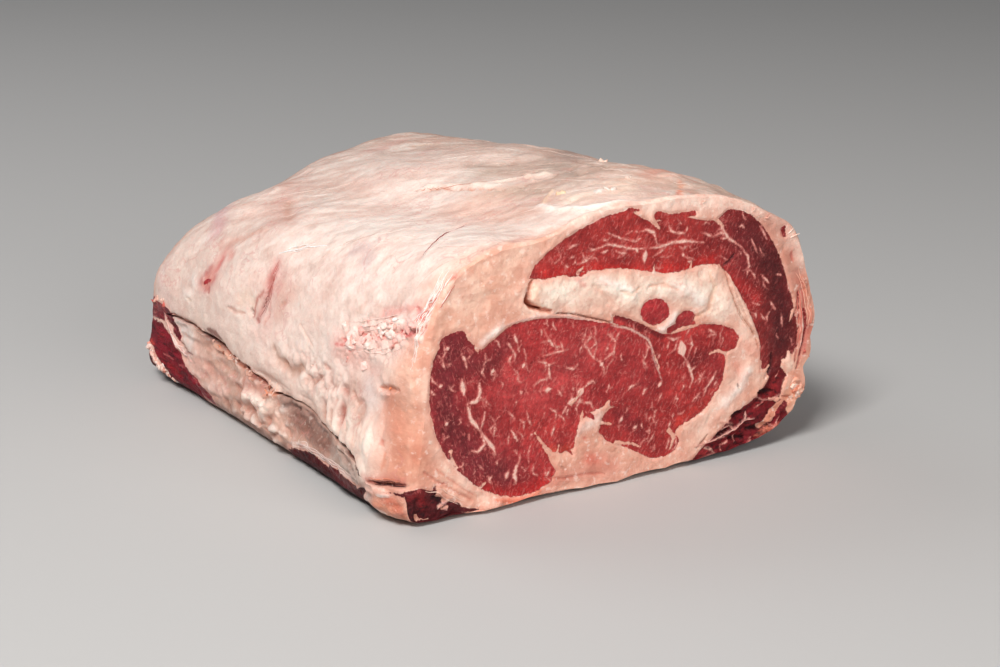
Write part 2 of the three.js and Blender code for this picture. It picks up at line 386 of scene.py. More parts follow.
def push_past_skin(loop, ring):
    """Moves the places that lie on the skin outwards, and says which edges stay inside."""
    edges = ring_edges(ring)
    on_skin = distance_to_edges(loop, edges) < SKIN_MARGIN
    step = np.roll(ring, -1, axis=0) - np.roll(ring, 1, axis=0)
    out = np.stack([step[:, 1], -step[:, 0]], axis=1)
    out /= np.linalg.norm(out, axis=1)[:, None]
    nearest = np.argmin(((loop[:, None] - ring[None]) ** 2).sum(axis=2), axis=1)
    moved = loop + np.where(on_skin, OUTREACH, 0)[:, None] * out[nearest]
    return moved, ~(on_skin & np.roll(on_skin, -1))


outlines = {name: push_past_skin(loop, front_ring) for name, loop in loops.items()}
for name, (loop, kept) in outlines.items():
    print(name, "outline of", len(loop), "places,", len(loop) - sum(kept), "edges past the skin")

# %% [markdown]
# ## The taper
# The roast sinks and narrows towards its far end, more on the chine side than under the cap.
# Muscle cutters follow the taper, and undoing it lays any point back on the front face, which
# tells how deep in a muscle the point is.

# %% Taper and its inverse
CHINE_DROP, CAP_DROP, DROP_POWER, FAR_NARROWING = 0.31, 0.115, 1.25, 0.05
CHINE_X, CAP_X = -84.0, 34.0


def taper(x, y):
    """How much of its width and height the front section keeps at x, y."""
    run = np.clip((y - FRONT) / (BACK - FRONT), 0, 1) ** DROP_POWER
    across = np.clip((x - CHINE_X) / (CAP_X - CHINE_X), 0, 1)
    drop = CHINE_DROP + (CAP_DROP - CHINE_DROP) * across
    return np.where(x > 0, 1 - FAR_NARROWING * run, 1), 1 - drop * run


def to_front(points):
    """Each point's x, z place once the taper is undone."""
    wide, high = taper(points[:, 0], points[:, 1])
    return np.stack([points[:, 0] / wide, points[:, 2] / high], axis=1)


def ease(low, high, value):
    """0 below low, 1 above high and a smooth step between; high may be the smaller one."""
    part = np.clip((value - low) / (high - low), 0, 1)
    return part * part * (3 - 2 * part)


print("the far end keeps", taper(CHINE_X, BACK)[1].round(2), "of its height at the chine")

# %% [markdown]
# ## Rib meat
# When the ribs are lifted out, strips of the dark meat between them stay on the two lower
# corners of the chine side. Each strip is a rounded wedge in the corner, whose height and
# depth change along the roast.

# %% Rib strips
STRIP_CORNER = (-109.0, -4.0)
# places along the length, and the height and depth there
STRIPS = {
    "rib_meat_near": ((-120, -92, -78, -68, -46, -26, -12), (16, 11.5, 5, 8, 11.6, 8, 2),
                      (40, 35, 27, 25, 25, 21, 13)),
    "rib_meat_far": ((50, 62, 76, 90, 102, 120), (3, 10.5, 18.5, 28, 33.5, 34.5),
                     (12, 15, 18, 20, 21, 21)),
}


def strip_size(name, y):
    places, heights, depths = STRIPS[name]
    return np.interp(y, places, depths), np.interp(y, places, heights) - STRIP_CORNER[1]


def strip_depth(name, points):
    """How deep in a rib strip each point lies, negative outside."""
    deep, high = strip_size(name, points[:, 1])
    away = np.hypot(np.maximum(points[:, 0] - STRIP_CORNER[0], 0) / deep,
                    np.maximum(points[:, 2] - STRIP_CORNER[1], 0) / high)
    ends = STRIPS[name][0]
    beyond = np.maximum(ends[0] - points[:, 1], points[:, 1] - ends[-1])
    return np.minimum((1 - away) * np.minimum(deep, high), -beyond)


print("rib strips", {name: strip[0][-1] - strip[0][0] for name, strip in STRIPS.items()}, "mm")

# %% [markdown]
# ## Depth in the meat
# Much of the paint and relief depends on one number: how deep a point lies in each muscle. It
# is the distance to the muscle's outline once the taper is undone, with the sign turned
# outside. One number for each point is far quicker than testing against solid meshes.

# %% Depth in every muscle
REACH = 12.0
ALL_MEATS = (*MEATS, *STRIPS)


def meat_depths(points):
    """For each muscle, how deep in it every point lies, down to REACH outside it."""
    flat = to_front(points)
    found = {}
    for name in MEATS:
        loop, kept = outlines[name]
        edges = ring_edges(loop)
        depth = np.full(len(points), -REACH)
        near = np.all((flat > loop.min(0) - REACH) & (flat < loop.max(0) + REACH), axis=1)
        sign = np.where(inside_edges(flat[near], edges), 1, -1)
        depth[near] = sign * distance_to_edges(flat[near], edges[kept])
        found[name] = np.maximum(depth, -REACH)
    for name in STRIPS:
        found[name] = np.maximum(strip_depth(name, points), -REACH)
    return found


middle = meat_depths(np.array([[-30.0, 0.0, 40.0]]))
print("the heart of the eye muscle is", middle["eye_muscle"][0].round(1), "mm deep")

# %% [markdown]
# ## Where a point is
# Marks and grain differ between the cut face, the chine side and the top. These weights say
# how much each point belongs to each of them, and fade into one another at the shoulders.

# %% Regions
RING_FADE, RING_INSET = 1.5, 0.4
FRONT_DEPTH, BACK_DEPTH = 7, 5
FACE_DEPTH, FACE_FADE = 2, 1.2
SHOULDER, CAP_SHOULDER = (-82, 89), (88, 95)


def regions(points):
    """Weights of the front face, back face, side, top and cap edge at each point."""
    flat = to_front(points)
    edges = ring_edges(front_ring)
    inset = np.zeros(len(points))
    ends = (points[:, 1] < FRONT + FRONT_DEPTH) | (points[:, 1] > BACK - BACK_DEPTH)
    inset[ends] = distance_to_edges(flat[ends], edges)
    inset[ends] *= np.where(inside_edges(flat[ends], edges), 1, -1)
    inner = np.clip(inset / RING_FADE - RING_INSET, 0, 1)
    front = np.maximum(np.clip((FRONT + FACE_DEPTH - points[:, 1]) / FACE_FADE, 0, 1), inner)
    front[points[:, 1] > FRONT + FRONT_DEPTH] = 0
    back = np.maximum(np.clip((points[:, 1] - BACK + FACE_DEPTH) / FACE_FADE, 0, 1), inner)
    back[points[:, 1] < BACK - BACK_DEPTH] = 0
    skin_share = (1 - front) * (1 - back)
    off_shoulder = (flat[:, 0] - SHOULDER[0]) + (flat[:, 1] - SHOULDER[1])
    side = ease(8, -10, off_shoulder) * skin_share
    off_cap_shoulder = (flat[:, 0] - CAP_SHOULDER[0]) - (flat[:, 1] - CAP_SHOULDER[1])
    edge = ease(-8, 10, off_cap_shoulder) * ease(0, 40, flat[:, 0]) * skin_share
    top = np.clip(skin_share - side - edge, 0, 1)
    return {"front": front, "back": back, "side": side, "top": top, "edge": edge}


crown = regions(np.array([[0.0, 0.0, 110.0]]))
print("the crown of the roast is", round(float(crown["top"][0]), 2), "top")

# %% Two patterns: soft waves and packed lobules
def noise_at(points, size, seed=0):
    """Smooth noise from -1 to 1 with lumps of the given size, one number or x, y, z."""
    scaled = points / np.array(size, float) + np.array((17.3, 5.1, 9.7)) * seed
    return np.array([noise.noise(Vector(place)) for place in scaled])


def lobules_at(points, size, seed=0):
    """Rounded bumps packed side by side: 1 on a bump's crown, 0 in the grooves."""
    scaled = points / np.array(size, float) + np.array((7.3, 15.1, 3.7)) * seed
    near = np.array([noise.voronoi(Vector(place))[0][:2] for place in scaled])
    return np.clip((near[:, 1] - near[:, 0]) * 1.6, 0, 1) ** 0.6


crown_place = np.array([[0.0, 0.0, 110.0]])
print("on the crown, waves", noise_at(crown_place, 9).round(2), "lobules",
      lobules_at(crown_place, 9).round(2))

# %% [markdown]
# ## Marks
# Cuts, seams, blood spots and torn patches are what make one roast this roast. Each mark is a
# path on the front face (x, z), the chine side (y, z) or the top (x, y), with a width, a rise
# or dip in millimetres, and a colour with a strength. They could be sculpted and painted by
# hand, but a table shapes and paints them at once, and gives the same roast each time.
# Some marks also paint shade into folds, hollows and the tear, or glints onto crumbs.

# %% Colours, as they would be picked on a screen
FELL, CUT_FAT, WHITE = (238, 214, 202), (230, 176, 154), (250, 240, 232)


def linear(colour):
    """The light that a screen colour stands for, which is what a shader works with."""
    value = np.array(colour, float) / 255
    return np.where(value <= 0.04045, value / 12.92, ((value + 0.055) / 1.055) ** 2.4)


print("white fat as light", linear(WHITE).round(3))

# %% [markdown]
# ### Tints of the cut fat
# Freshly cut fat isn't one colour: it is pink near the skin, cream in the thick seam and red
# where it was close to meat. Broad soft strokes give those washes before any small detail.

# %% Tints of the cut fat
# what it stains, half width, rise, colour, strength, path
FRONT_MARKS = [
    ("fat", 7, 0, (222, 160, 134), 0.75, [(-97, 66), (-96, 45), (-95, 26)]),
    ("fat", 3, 0, (246, 212, 194), 0.6, [(-89, 60), (-89.5, 46), (-87, 33), (-80, 22), (-62, 7)]),
    ("fat", 12, 0, (244, 200, 176), 0.6, [(-80, 82), (-62, 92), (-50, 92)]),
    ("fat", 5, 0, (240, 184, 162), 0.6, [(-48, 86), (-42, 97), (-30, 105)]),
    ("fat", 7, 0.6, (255, 236, 219), 0.95,
     [(-38, 84), (-20, 83), (0, 80), (24, 77), (42, 76), (50, 66)]),
    ("fat", 6, 0, (254, 230, 216), 0.75,
     [(-24, 111), (10, 115), (44, 111), (68, 103), (84, 92), (92, 80)]),
    ("fat", 7, 0, (248, 212, 194), 0.7, [(56, 66), (64, 52), (62, 38), (52, 24), (40, 13)]),
    ("fat", 5, 0, (234, 182, 162), 0.6, [(-50, 2), (-20, 7), (10, 4), (34, 5)]),
    ("fat", 5, 0, (192, 128, 108), 0.75, [(72, 98), (84, 84), (93, 68), (98, 50), (98, 40)]),
    ("fat", 5, 0, (230, 162, 136), 0.7, [(90, 30), (91, 24), (86, 15)]),
    ("fat", 2.0, 0.5, (248, 222, 204), 0.6, [(87, 39), (88.4, 34)]),
    ("fat", 2.4, 0.4, (242, 196, 176), 0.7, [(86, 26), (88, 28.6)]),
    ("fat", 2.6, 0.4, (222, 134, 106), 0.75, [(92, 22), (95, 23)]),
    ("fat", 3.0, 0.4, (240, 184, 150), 0.8, [(89, 19.4), (85, 17), (82, 14.4)]),
    ("fat", 2.0, 0.2, (208, 124, 92), 0.75, [(80, 13), (76, 10)]),
    ("fat", 0.6, -0.5, (150, 64, 48), 0.75, [(85, 21.6), (88.4, 21), (91, 19.4)]),
    ("fat", 3.2, 0, (186, 112, 98), 0.55, [(90, 74), (95, 62), (97.6, 50)]),
    ("fat", 1.0, -0.3, (166, 58, 54), 0.8, [(97.4, 58), (98, 50), (96.6, 44), (95.4, 38)]),
    ("fat", 0.8, -0.3, (176, 74, 68), 0.7, [(92.4, 72), (94.4, 62), (94.6, 54)]),
    ("fat", 0.8, 0.3, (240, 190, 178), 0.7, [(93.8, 58), (94.4, 50), (93.8, 42)]),
    ("fat", 4.5, 0, (206, 124, 106), 0.5, [(-34, 6), (-18, 8), (-2, 7)]),
    ("fat", 0.6, -0.3, (196, 112, 94), 0.7, [(-36, 9), (-26, 7), (-14, 6.6), (-6, 5)]),
    ("fat", 6, 0, (214, 144, 118), 0.6, [(-95, 58), (-95, 44), (-93, 30)]),
    ("fat", 0.7, -0.4, (206, 128, 108), 0.6, [(-90, 22), (-84, 17), (-76, 11.4), (-68, 6)]),
]
print(len(FRONT_MARKS), "marks so far")

# %% [markdown]
# ### Folds, seams and stains in the cut fat
# The seam of fat tears open beside the muscles and holds thin seams of its own. Dark narrow
# strokes with a negative rise dig those and darken them with painted shade, and small light ones
# lift the curds beside them.

# %% Folds, seams and stains in the cut fat
FRONT_MARKS += [
    # the deep crease beside the fat finger: red-brown, darkened further with painted shade under its
    # overhang
    ("both", 0.8, -3.2, (70, 20, 12), 1.0,
     [(-43.7, 85), (-43.6, 82.6), (-42, 80.6), (-40, 79.2), (-37.4, 78.5)]),
    ("fat", 1.2, -1.4, (186, 88, 56), 0.8,
     [(-41.6, 90), (-43, 87), (-43.6, 83), (-41.4, 80), (-37, 78), (-33, 76.8)]),
    ("fat", 2.2, 0.8, (250, 210, 184), 0.7, [(-39.6, 87), (-40.6, 84), (-38.6, 81.4)]),
    # a thin painted shadow line above the eye muscle's top edge
    ("both", 0.42, -1.0, (96, 52, 42), 0.75,
     [(-31, 75.6), (-21.4, 73.6), (-13.7, 71), (-4, 67.8)]),
    ("fat", 0.7, 0.2, (232, 200, 192), 0.8,
     [(-54, 73.8), (-40, 75.6), (-26, 73.6), (-14, 69.8), (-4, 66.4)]),
    ("both", 0.6, -0.3, (170, 50, 46), 0.8, [(-20.6, 90.2), (-17.6, 89.8)]),
    ("fat", 1.2, -0.2, (238, 182, 168), 0.7, [(-21.6, 88.6), (-17, 84.6)]),
    ("fat", 1.4, -0.4, (240, 204, 184), 0.6, [(-13, 84), (-6, 78), (-3, 74)]),
    ("fat", 1.8, 0.5, WHITE, 0.6, [(-9, 86), (0, 82), (6, 78)]),
    ("fat", 1.0, -0.4, (240, 196, 170), 0.6, [(0, 80), (5, 78), (9, 80)]),
    ("fat", 3, 0.6, WHITE, 0.5, [(26, 78), (34, 75), (40, 70)]),
    ("fat", 1.2, -0.4, (242, 200, 172), 0.6, [(44, 81), (47, 75), (44, 66), (38, 63)]),
    ("fat", 0.8, -0.4, (236, 184, 160), 0.6, [(14, 80), (22, 79.4), (28, 76.6)]),
    ("fat", 0.5, -0.5, (176, 120, 96), 0.75,
     [(52.4, 82), (54.6, 74), (58, 66), (61.6, 60), (66, 55), (69.6, 50), (71, 45)]),
    ("fat", 0.4, -0.4, (150, 74, 60), 0.75, [(57, 75), (59.6, 68), (63.6, 60.6)]),
    ("fat", 1.1, 0.5, (250, 214, 194), 0.8, [(55, 78), (61, 67), (67, 57), (71.4, 47)]),
    ("fat", 3, 0, (236, 168, 148), 0.6, [(64, 47), (70, 43)]),
    ("fat", 2.6, 0, (236, 160, 140), 0.6, [(59, 40), (62, 36)]),
    ("fat", 2, 0, (232, 168, 146), 0.5, [(50, 18), (58, 24), (66, 27)]),
    ("fat", 2.4, 0.5, WHITE, 0.6, [(66, 36), (62, 30), (54, 24)]),
    ("fat", 0.5, -0.6, (110, 62, 50), 0.7, [(60.8, 31), (61.4, 29)]),
    ("fat", 0.5, -0.5, (130, 70, 56), 0.6, [(40, 7.4), (43.6, 9), (46, 12)]),
    ("fat", 0.5, -0.5, (190, 140, 120), 0.6, [(-26.6, 12), (-25, 10.6)]),
    ("fat", 2.2, -0.3, (212, 104, 88), 0.75, [(-13, 12.6), (-10.4, 11.4)]),
    ("fat", 3.4, 0, (226, 140, 120), 0.5, [(-14, 13), (-7, 12)]),
    ("fat", 0.9, -0.2, (212, 116, 100), 0.7, [(-16.4, 22.4), (-15.4, 21.6)]),
    ("fat", 1.0, -0.3, (206, 128, 100), 0.6, [(-64.6, 93), (-63.6, 92.4)]),
    ("fat", 2.2, 0.2, WHITE, 0.55, [(-19, 26), (-14, 27), (-9, 30)]),
    ("fat", 1.2, 0.3, (250, 214, 198), 0.6, [(-79, 25), (-73, 17.6), (-64, 11)]),
    ("fat", 0.5, -0.3, (216, 140, 120), 0.6, [(-84, 22), (-76, 14.6), (-68, 8.6)]),
    ("fat", 0.5, -0.3, (200, 110, 94), 0.7, [(-82.4, 16), (-79, 15.4)]),
    ("fat", 1.4, 0.3, (228, 112, 80), 0.85, [(-58, 4.4), (-50, 2.4), (-42, 2.2), (-37, 4)]),
    ("fat", 2.8, 1.4, (240, 186, 166), 0.6, [(-62, 2), (-57.6, 1.6)]),
    ("fat", 2.0, 0.5, WHITE, 0.8, [(20.6, 60.6), (24.4, 62), (27.2, 66)]),
    ("fat", 1.6, 0.4, WHITE, 0.7, [(-64, 69), (-60, 71.6), (-55, 73.6)]),
    ("fat", 0.7, -0.3, (150, 44, 40), 0.85, [(91.4, 64), (90.6, 56), (93, 46), (90.6, 36)]),
    ("fat", 0.8, -0.5, (140, 40, 38), 0.85, [(94.6, 58), (96.2, 50), (95, 42), (91.6, 33)]),
    ("fat", 1.3, -0.2, (170, 54, 50), 0.85, [(81.4, 93.6), (82.8, 91.4)]),
    ("fat", 0.9, -0.2, (206, 110, 98), 0.7, [(86.6, 84), (87.6, 80)]),
    ("fat", 1.0, 0.5, (226, 150, 124), 0.6, [(93, 72), (97, 62), (98.6, 52)]),
    ("fat", 2.0, -0.4, (206, 120, 92), 0.6, [(79, 15), (84, 17.6), (88, 20)]),
]
print(len(FRONT_MARKS), "marks so far")

# %% [markdown]
# ### Reds of the lean
# Some places in the lean are darker, and some redder and brighter, than the rest. The
# silver seam is skin between two muscles: a pale thread in a slightly sunken dark band.

# %% Reds of the lean
FRONT_MARKS += [
    ("both", 0.42, -0.12, (232, 186, 174), 0.9,
     [(-4, 66.6), (3, 64.4), (9.4, 61.4), (14.4, 58), (17, 53), (19, 46), (21.4, 39.6)]),
    ("lean", 1.3, -0.4, (112, 26, 30), 0.7, [(-1, 69.4), (6, 66), (14, 61.6), (22, 57.4)]),
    # redder and darker places in the lean
    ("lean", 11, 0, (104, 30, 38), 0.85,
     [(-77, 70), (-81, 52), (-77, 36), (-67, 22), (-54, 12)]),
    ("lean", 6, 0, (112, 32, 38), 0.75, [(-70, 62), (-60, 60), (-54, 66)]),
    ("lean", 3.5, 0, (196, 40, 38), 0.75, [(-64, 9.5), (-54, 5.6), (-42, 4.4), (-32, 8)]),
    ("lean", 9, 0, (190, 72, 72), 0.5, [(-50, 50), (-38, 44), (-24, 54), (-12, 60)]),
    ("lean", 5, 0, (190, 58, 54), 0.5, [(-46, 34), (-36, 30), (-26, 26)]),
    ("lean", 2.0, 0, (210, 76, 56), 0.6, [(-32, 19.4), (-26, 18.6), (-22.6, 19)]),
    ("lean", 6, 0, (150, 44, 46), 0.5, [(2, 50), (10, 44), (16, 34)]),
    ("lean", 4.5, 0, (116, 28, 34), 0.7, [(2, 28), (8, 24), (12, 18)]),
    ("lean", 2.0, 0, (206, 60, 50), 0.75, [(30, 20), (40, 24.4), (48, 31)]),
    ("lean", 4, 0, (118, 30, 34), 0.65, [(38, 45), (48, 46), (50, 36), (44, 29)]),
    ("lean", 3, 0, (190, 56, 54), 0.5, [(36, 56), (46, 57), (58, 52)]),
    ("lean", 12, 0, (66, 10, 16), 0.9, [(67, 92), (79, 78), (83, 62), (83, 44)]),
    ("lean", 8, 0, (120, 34, 38), 0.6, [(50, 100), (60, 94), (62, 82)]),
    ("lean", 0.7, -0.8, (80, 14, 20), 0.85, [(52, 82.6), (55, 84), (57.6, 87)]),
    ("lean", 2.2, 0, (196, 40, 36), 0.75,
     [(-36, 91.6), (-20, 92), (2, 88.6), (16, 86), (36, 85.6), (46, 87)]),
    ("lean", 2.6, 0, (190, 42, 42), 0.6, [(56, 76), (64, 71), (70, 66)]),
    ("lean", 2.6, 0.3, (196, 60, 56), 0.6, [(0, 110), (8, 109)]),
]
print(len(FRONT_MARKS), "marks so far")

# %% [markdown]
# ### Coarse meat
# The lower muscle is made of loose bundles with gaps between them and sinew across them. Deep
# dark strokes dig the gaps and paint the shade inside them, since lines of colour alone would look
# flat from the side.

# %% The coarse lower muscle and the near corner
FRONT_MARKS += [
    ("lean", 2.4, 0.5, (150, 34, 36), 0.7, [(73, 19), (80, 22), (82, 31)]),
    ("lean", 2.0, 0.5, (150, 40, 42), 0.7, [(42, 4.6), (46, 3)]),
    ("lean", 1.2, 0.4, (140, 36, 40), 0.6, [(84, 14), (88, 18)]),
    ("lean", 1.2, -1.8, (26, 4, 8), 0.85, [(58, 17.6), (64, 18.4)]),
    ("lean", 1.3, -1.8, (26, 4, 8), 0.85, [(68, 10), (80, 9.6)]),
    ("lean", 1.2, -1.6, (30, 5, 10), 0.85, [(72, 25.4), (80, 24.6)]),
    ("lean", 1.0, -1.5, (26, 4, 8), 0.85, [(51, 10.4), (57, 11.6)]),
    ("lean", 1.0, -1.4, (26, 4, 8), 0.8, [(58, 7.6), (66, 6.6)]),
    ("lean", 1.0, -1.2, (36, 6, 12), 0.75, [(75.6, 31), (79, 36), (79, 41)]),
    ("both", 0.55, 0.5, (214, 156, 146), 0.85,
     [(40, 8), (48, 8.4), (55, 9.4), (60, 11.2), (66, 14.6), (71, 14.2)]),
    ("both", 0.5, 0.4, (222, 164, 150), 0.85, [(60, 11.4), (58, 13.6), (53.6, 12.6)]),
    ("both", 0.6, 0.4, (228, 176, 162), 0.8, [(66, 14), (67, 17.4)]),
    ("both", 0.4, 0.3, (214, 150, 138), 0.8, [(70, 24.6), (75, 21.4), (81, 20.6), (84, 22.6)]),
    ("both", 0.6, 0.4, (220, 168, 154), 0.8, [(45, 6), (48.4, 4.6), (50, 2)]),
    ("both", 0.5, 0.4, (222, 160, 144), 0.7, [(52, 16), (56, 15.4), (59.4, 13.8)]),
    ("both", 1.2, 0.5, (214, 124, 100), 0.6, [(72, 6), (78, 8), (84, 9)]),
    # the red meat at the near corner
    ("lean", 2.0, 0.6, (128, 24, 28), 0.7, [(-96, 12), (-92, 14), (-90, 8)]),
    ("lean", 1.2, -0.8, (40, 6, 12), 0.8, [(-86, 11), (-82, 9), (-77, 7.4)]),
    ("both", 0.8, 0.3, (240, 190, 180), 0.9, [(-83, 6), (-81, 7.4), (-78.6, 8.4)]),
    ("both", 0.6, 0.3, (236, 186, 176), 0.8, [(-80.4, 5.8), (-79.6, 4.6)]),
]
print(len(FRONT_MARKS), "marks on it")

# %% [markdown]
# ### The chine side
# This is where the backbone was. The skin here carries blood spots, drawn tendons and a row
# of shallow hollows, so strokes of many widths lie over one another, the small ones last.

# %% The chine side above the tear
# what it stains, half width, rise, colour, strength, path
SIDE_MARKS = [
    ("fat", 2.6, -0.2, (158, 28, 34), 0.95, [(70, 54), (65, 56.2), (60, 57.4)]),
    ("fat", 2.2, -0.2, (158, 28, 34), 0.95, [(66.8, 59.6), (65.4, 56), (64.8, 53.6)]),
    ("fat", 1.5, -0.2, (164, 40, 42), 0.9, [(70, 58), (66, 56)]),
    ("fat", 1.4, -0.2, (170, 48, 48), 0.85, [(62, 54), (59.4, 52)]),
    ("fat", 1.7, -0.1, (196, 96, 90), 0.85, [(64, 59), (61, 62), (61.6, 65.6)]),
    ("fat", 2.6, -0.1, (208, 124, 116), 0.75, [(60.6, 63), (63, 67), (64.6, 71.4)]),
    ("fat", 2.8, -0.1, (210, 134, 124), 0.7, [(63, 73), (58, 71.4), (55.6, 69)]),
    ("lean", 3.0, 0, (178, 48, 54), 0.85, [(68, 54.6), (61, 57)]),
    ("fat", 4.5, 0, (228, 170, 160), 0.5, [(69, 54.6), (59, 57)]),
    ("fat", 2.0, 0, (218, 148, 134), 0.6, [(75, 70.4), (68, 71.2), (62, 70.4), (54, 69)]),
    ("fat", 2.6, 0, (226, 170, 156), 0.5, [(68, 69), (66, 63), (64.5, 59)]),
    ("fat", 1.2, -1.6, (84, 42, 36), 0.9, [(21.8, 53.2), (20, 51.4)]),
    ("fat", 0.9, -0.6, (200, 144, 124), 0.6, [(40, 50.4), (32, 50.6), (25, 51)]),
    # broad painted shade above the dimple
    ("fat", 3.5, -0.8, (226, 196, 176), 0.5, [(30, 56), (24, 58), (21, 56)]),
    ("fat", 1.3, -0.6, (156, 78, 66), 0.8, [(16.4, 50.4), (13, 49.8)]),
    ("fat", 3.6, -0.3, (200, 92, 86), 0.85, [(14, 74.6), (12.6, 69), (11.4, 64)]),
    ("fat", 2.6, -0.3, (168, 72, 62), 0.8, [(12.4, 67), (11, 61), (12.4, 56), (14, 52)]),
    ("fat", 1.3, -0.3, (184, 96, 82), 0.75, [(15.6, 62), (19, 57), (18.4, 51)]),
    ("fat", 1.1, -0.3, (184, 104, 88), 0.7, [(7.4, 59), (6, 54), (7.6, 50)]),
    ("fat", 0.6, -0.7, (124, 54, 48), 0.8, [(12.6, 62.6), (11, 59.4), (14.6, 55)]),
    ("fat", 0.5, -0.6, (150, 80, 70), 0.7, [(7, 56.4), (6.4, 53.6)]),
    ("fat", 7, 0, (228, 184, 174), 0.5, [(6, 72), (8, 58), (6, 52)]),
    ("fat", 1.0, -0.5, (206, 150, 134), 0.6, [(-1.6, 60.8), (-6, 62.6)]),
    ("fat", 0.8, -0.4, (220, 178, 160), 0.5, [(-22, 57.4), (-28, 54.6), (-34, 51.6)]),
    ("fat", 0.6, 0.6, WHITE, 0.9, [(14, 78.2), (6, 80.8), (-3, 83.8), (-11, 86)]),
    ("fat", 2.4, 0, (178, 144, 152), 0.65, [(-34, 89.6), (-40, 89.2)]),
    ("fat", 7, 0, (222, 194, 190), 0.5, [(-38, 88), (-60, 89)]),
    ("fat", 2.0, -1.2, (194, 150, 130), 0.75, [(-4, 43.6), (-9, 39.8), (-14, 38.6)]),
    ("fat", 2.3, -1.3, (180, 136, 116), 0.8, [(-14, 38.4), (-20, 37.8), (-26, 38.8), (-27.6, 42)]),
    ("fat", 1.8, -1.0, (192, 144, 126), 0.65, [(-34, 38.4), (-38, 37)]),
    ("fat", 1.6, -1.1, (176, 124, 106), 0.75, [(-40, 38.6), (-43.6, 41)]),
    ("fat", 1.3, -0.6, (206, 152, 134), 0.65, [(-46, 47), (-52, 46.6)]),
    ("fat", 1.6, -0.9, (188, 128, 112), 0.65, [(-55, 42), (-57.4, 41)]),
    ("fat", 1.8, -1.1, (170, 98, 84), 0.8, [(-66.6, 42.4), (-70, 41.6)]),
    ("fat", 1.4, -0.9, (192, 130, 114), 0.65, [(-74, 43), (-80, 41), (-84, 43)]),
    ("fat", 1.9, -1.6, (166, 82, 66), 0.85, [(-68.4, 35.6), (-68.8, 30)]),
    ("fat", 2.4, -1.4, (176, 116, 96), 0.7, [(-52, 33), (-54.6, 27.6)]),
    ("fat", 1.4, -1.2, (186, 130, 110), 0.7, [(-61.4, 33), (-62.4, 27)]),
    ("fat", 1.2, -1.4, (200, 150, 130), 0.6, [(-83.4, 37), (-84.6, 30), (-84, 25)]),
    ("fat", 1.0, -0.9, (204, 146, 126), 0.6, [(-73, 38), (-74, 30)]),
    ("fat", 3.0, 1.3, (246, 228, 214), 0.85, [(-77.6, 37), (-78, 27)]),
    ("fat", 2.2, 1.0, (244, 224, 210), 0.75, [(-65, 33), (-65.4, 27)]),
    ("fat", 2.0, 0.8, (242, 220, 206), 0.6, [(-57.6, 34), (-58, 29)]),
    ("fat", 8, 2.0, (246, 226, 212), 0.8, [(-93, 33), (-97, 25), (-97, 19)]),
    ("fat", 1.1, -0.5, (196, 110, 96), 0.8, [(-101.6, 32.6), (-103, 31)]),
    ("fat", 0.7, -0.3, (224, 146, 118), 0.65, [(-104.6, 28), (-105.4, 22)]),
    ("fat", 1.2, -1.3, (206, 126, 94), 0.85, [(-94, 50.4), (-100, 52), (-107, 52.6)]),
    ("fat", 1.2, 0.8, WHITE, 0.75, [(-96, 48.4), (-101, 49.8)]),
    ("fat", 4.5, 1.0, (246, 214, 196), 0.6, [(-96, 58), (-104, 58)]),
    ("fat", 8, 0, (204, 130, 102), 0.8, [(-105, 46), (-110, 36), (-112, 24)]),
    ("fat", 6, 0, (230, 170, 146), 0.6, [(-109, 58), (-112, 70)]),
    ("fat", 5, 0, (216, 200, 196), 0.55, [(-84, 48), (-90, 45)]),
]
print(len(SIDE_MARKS), "marks so far")
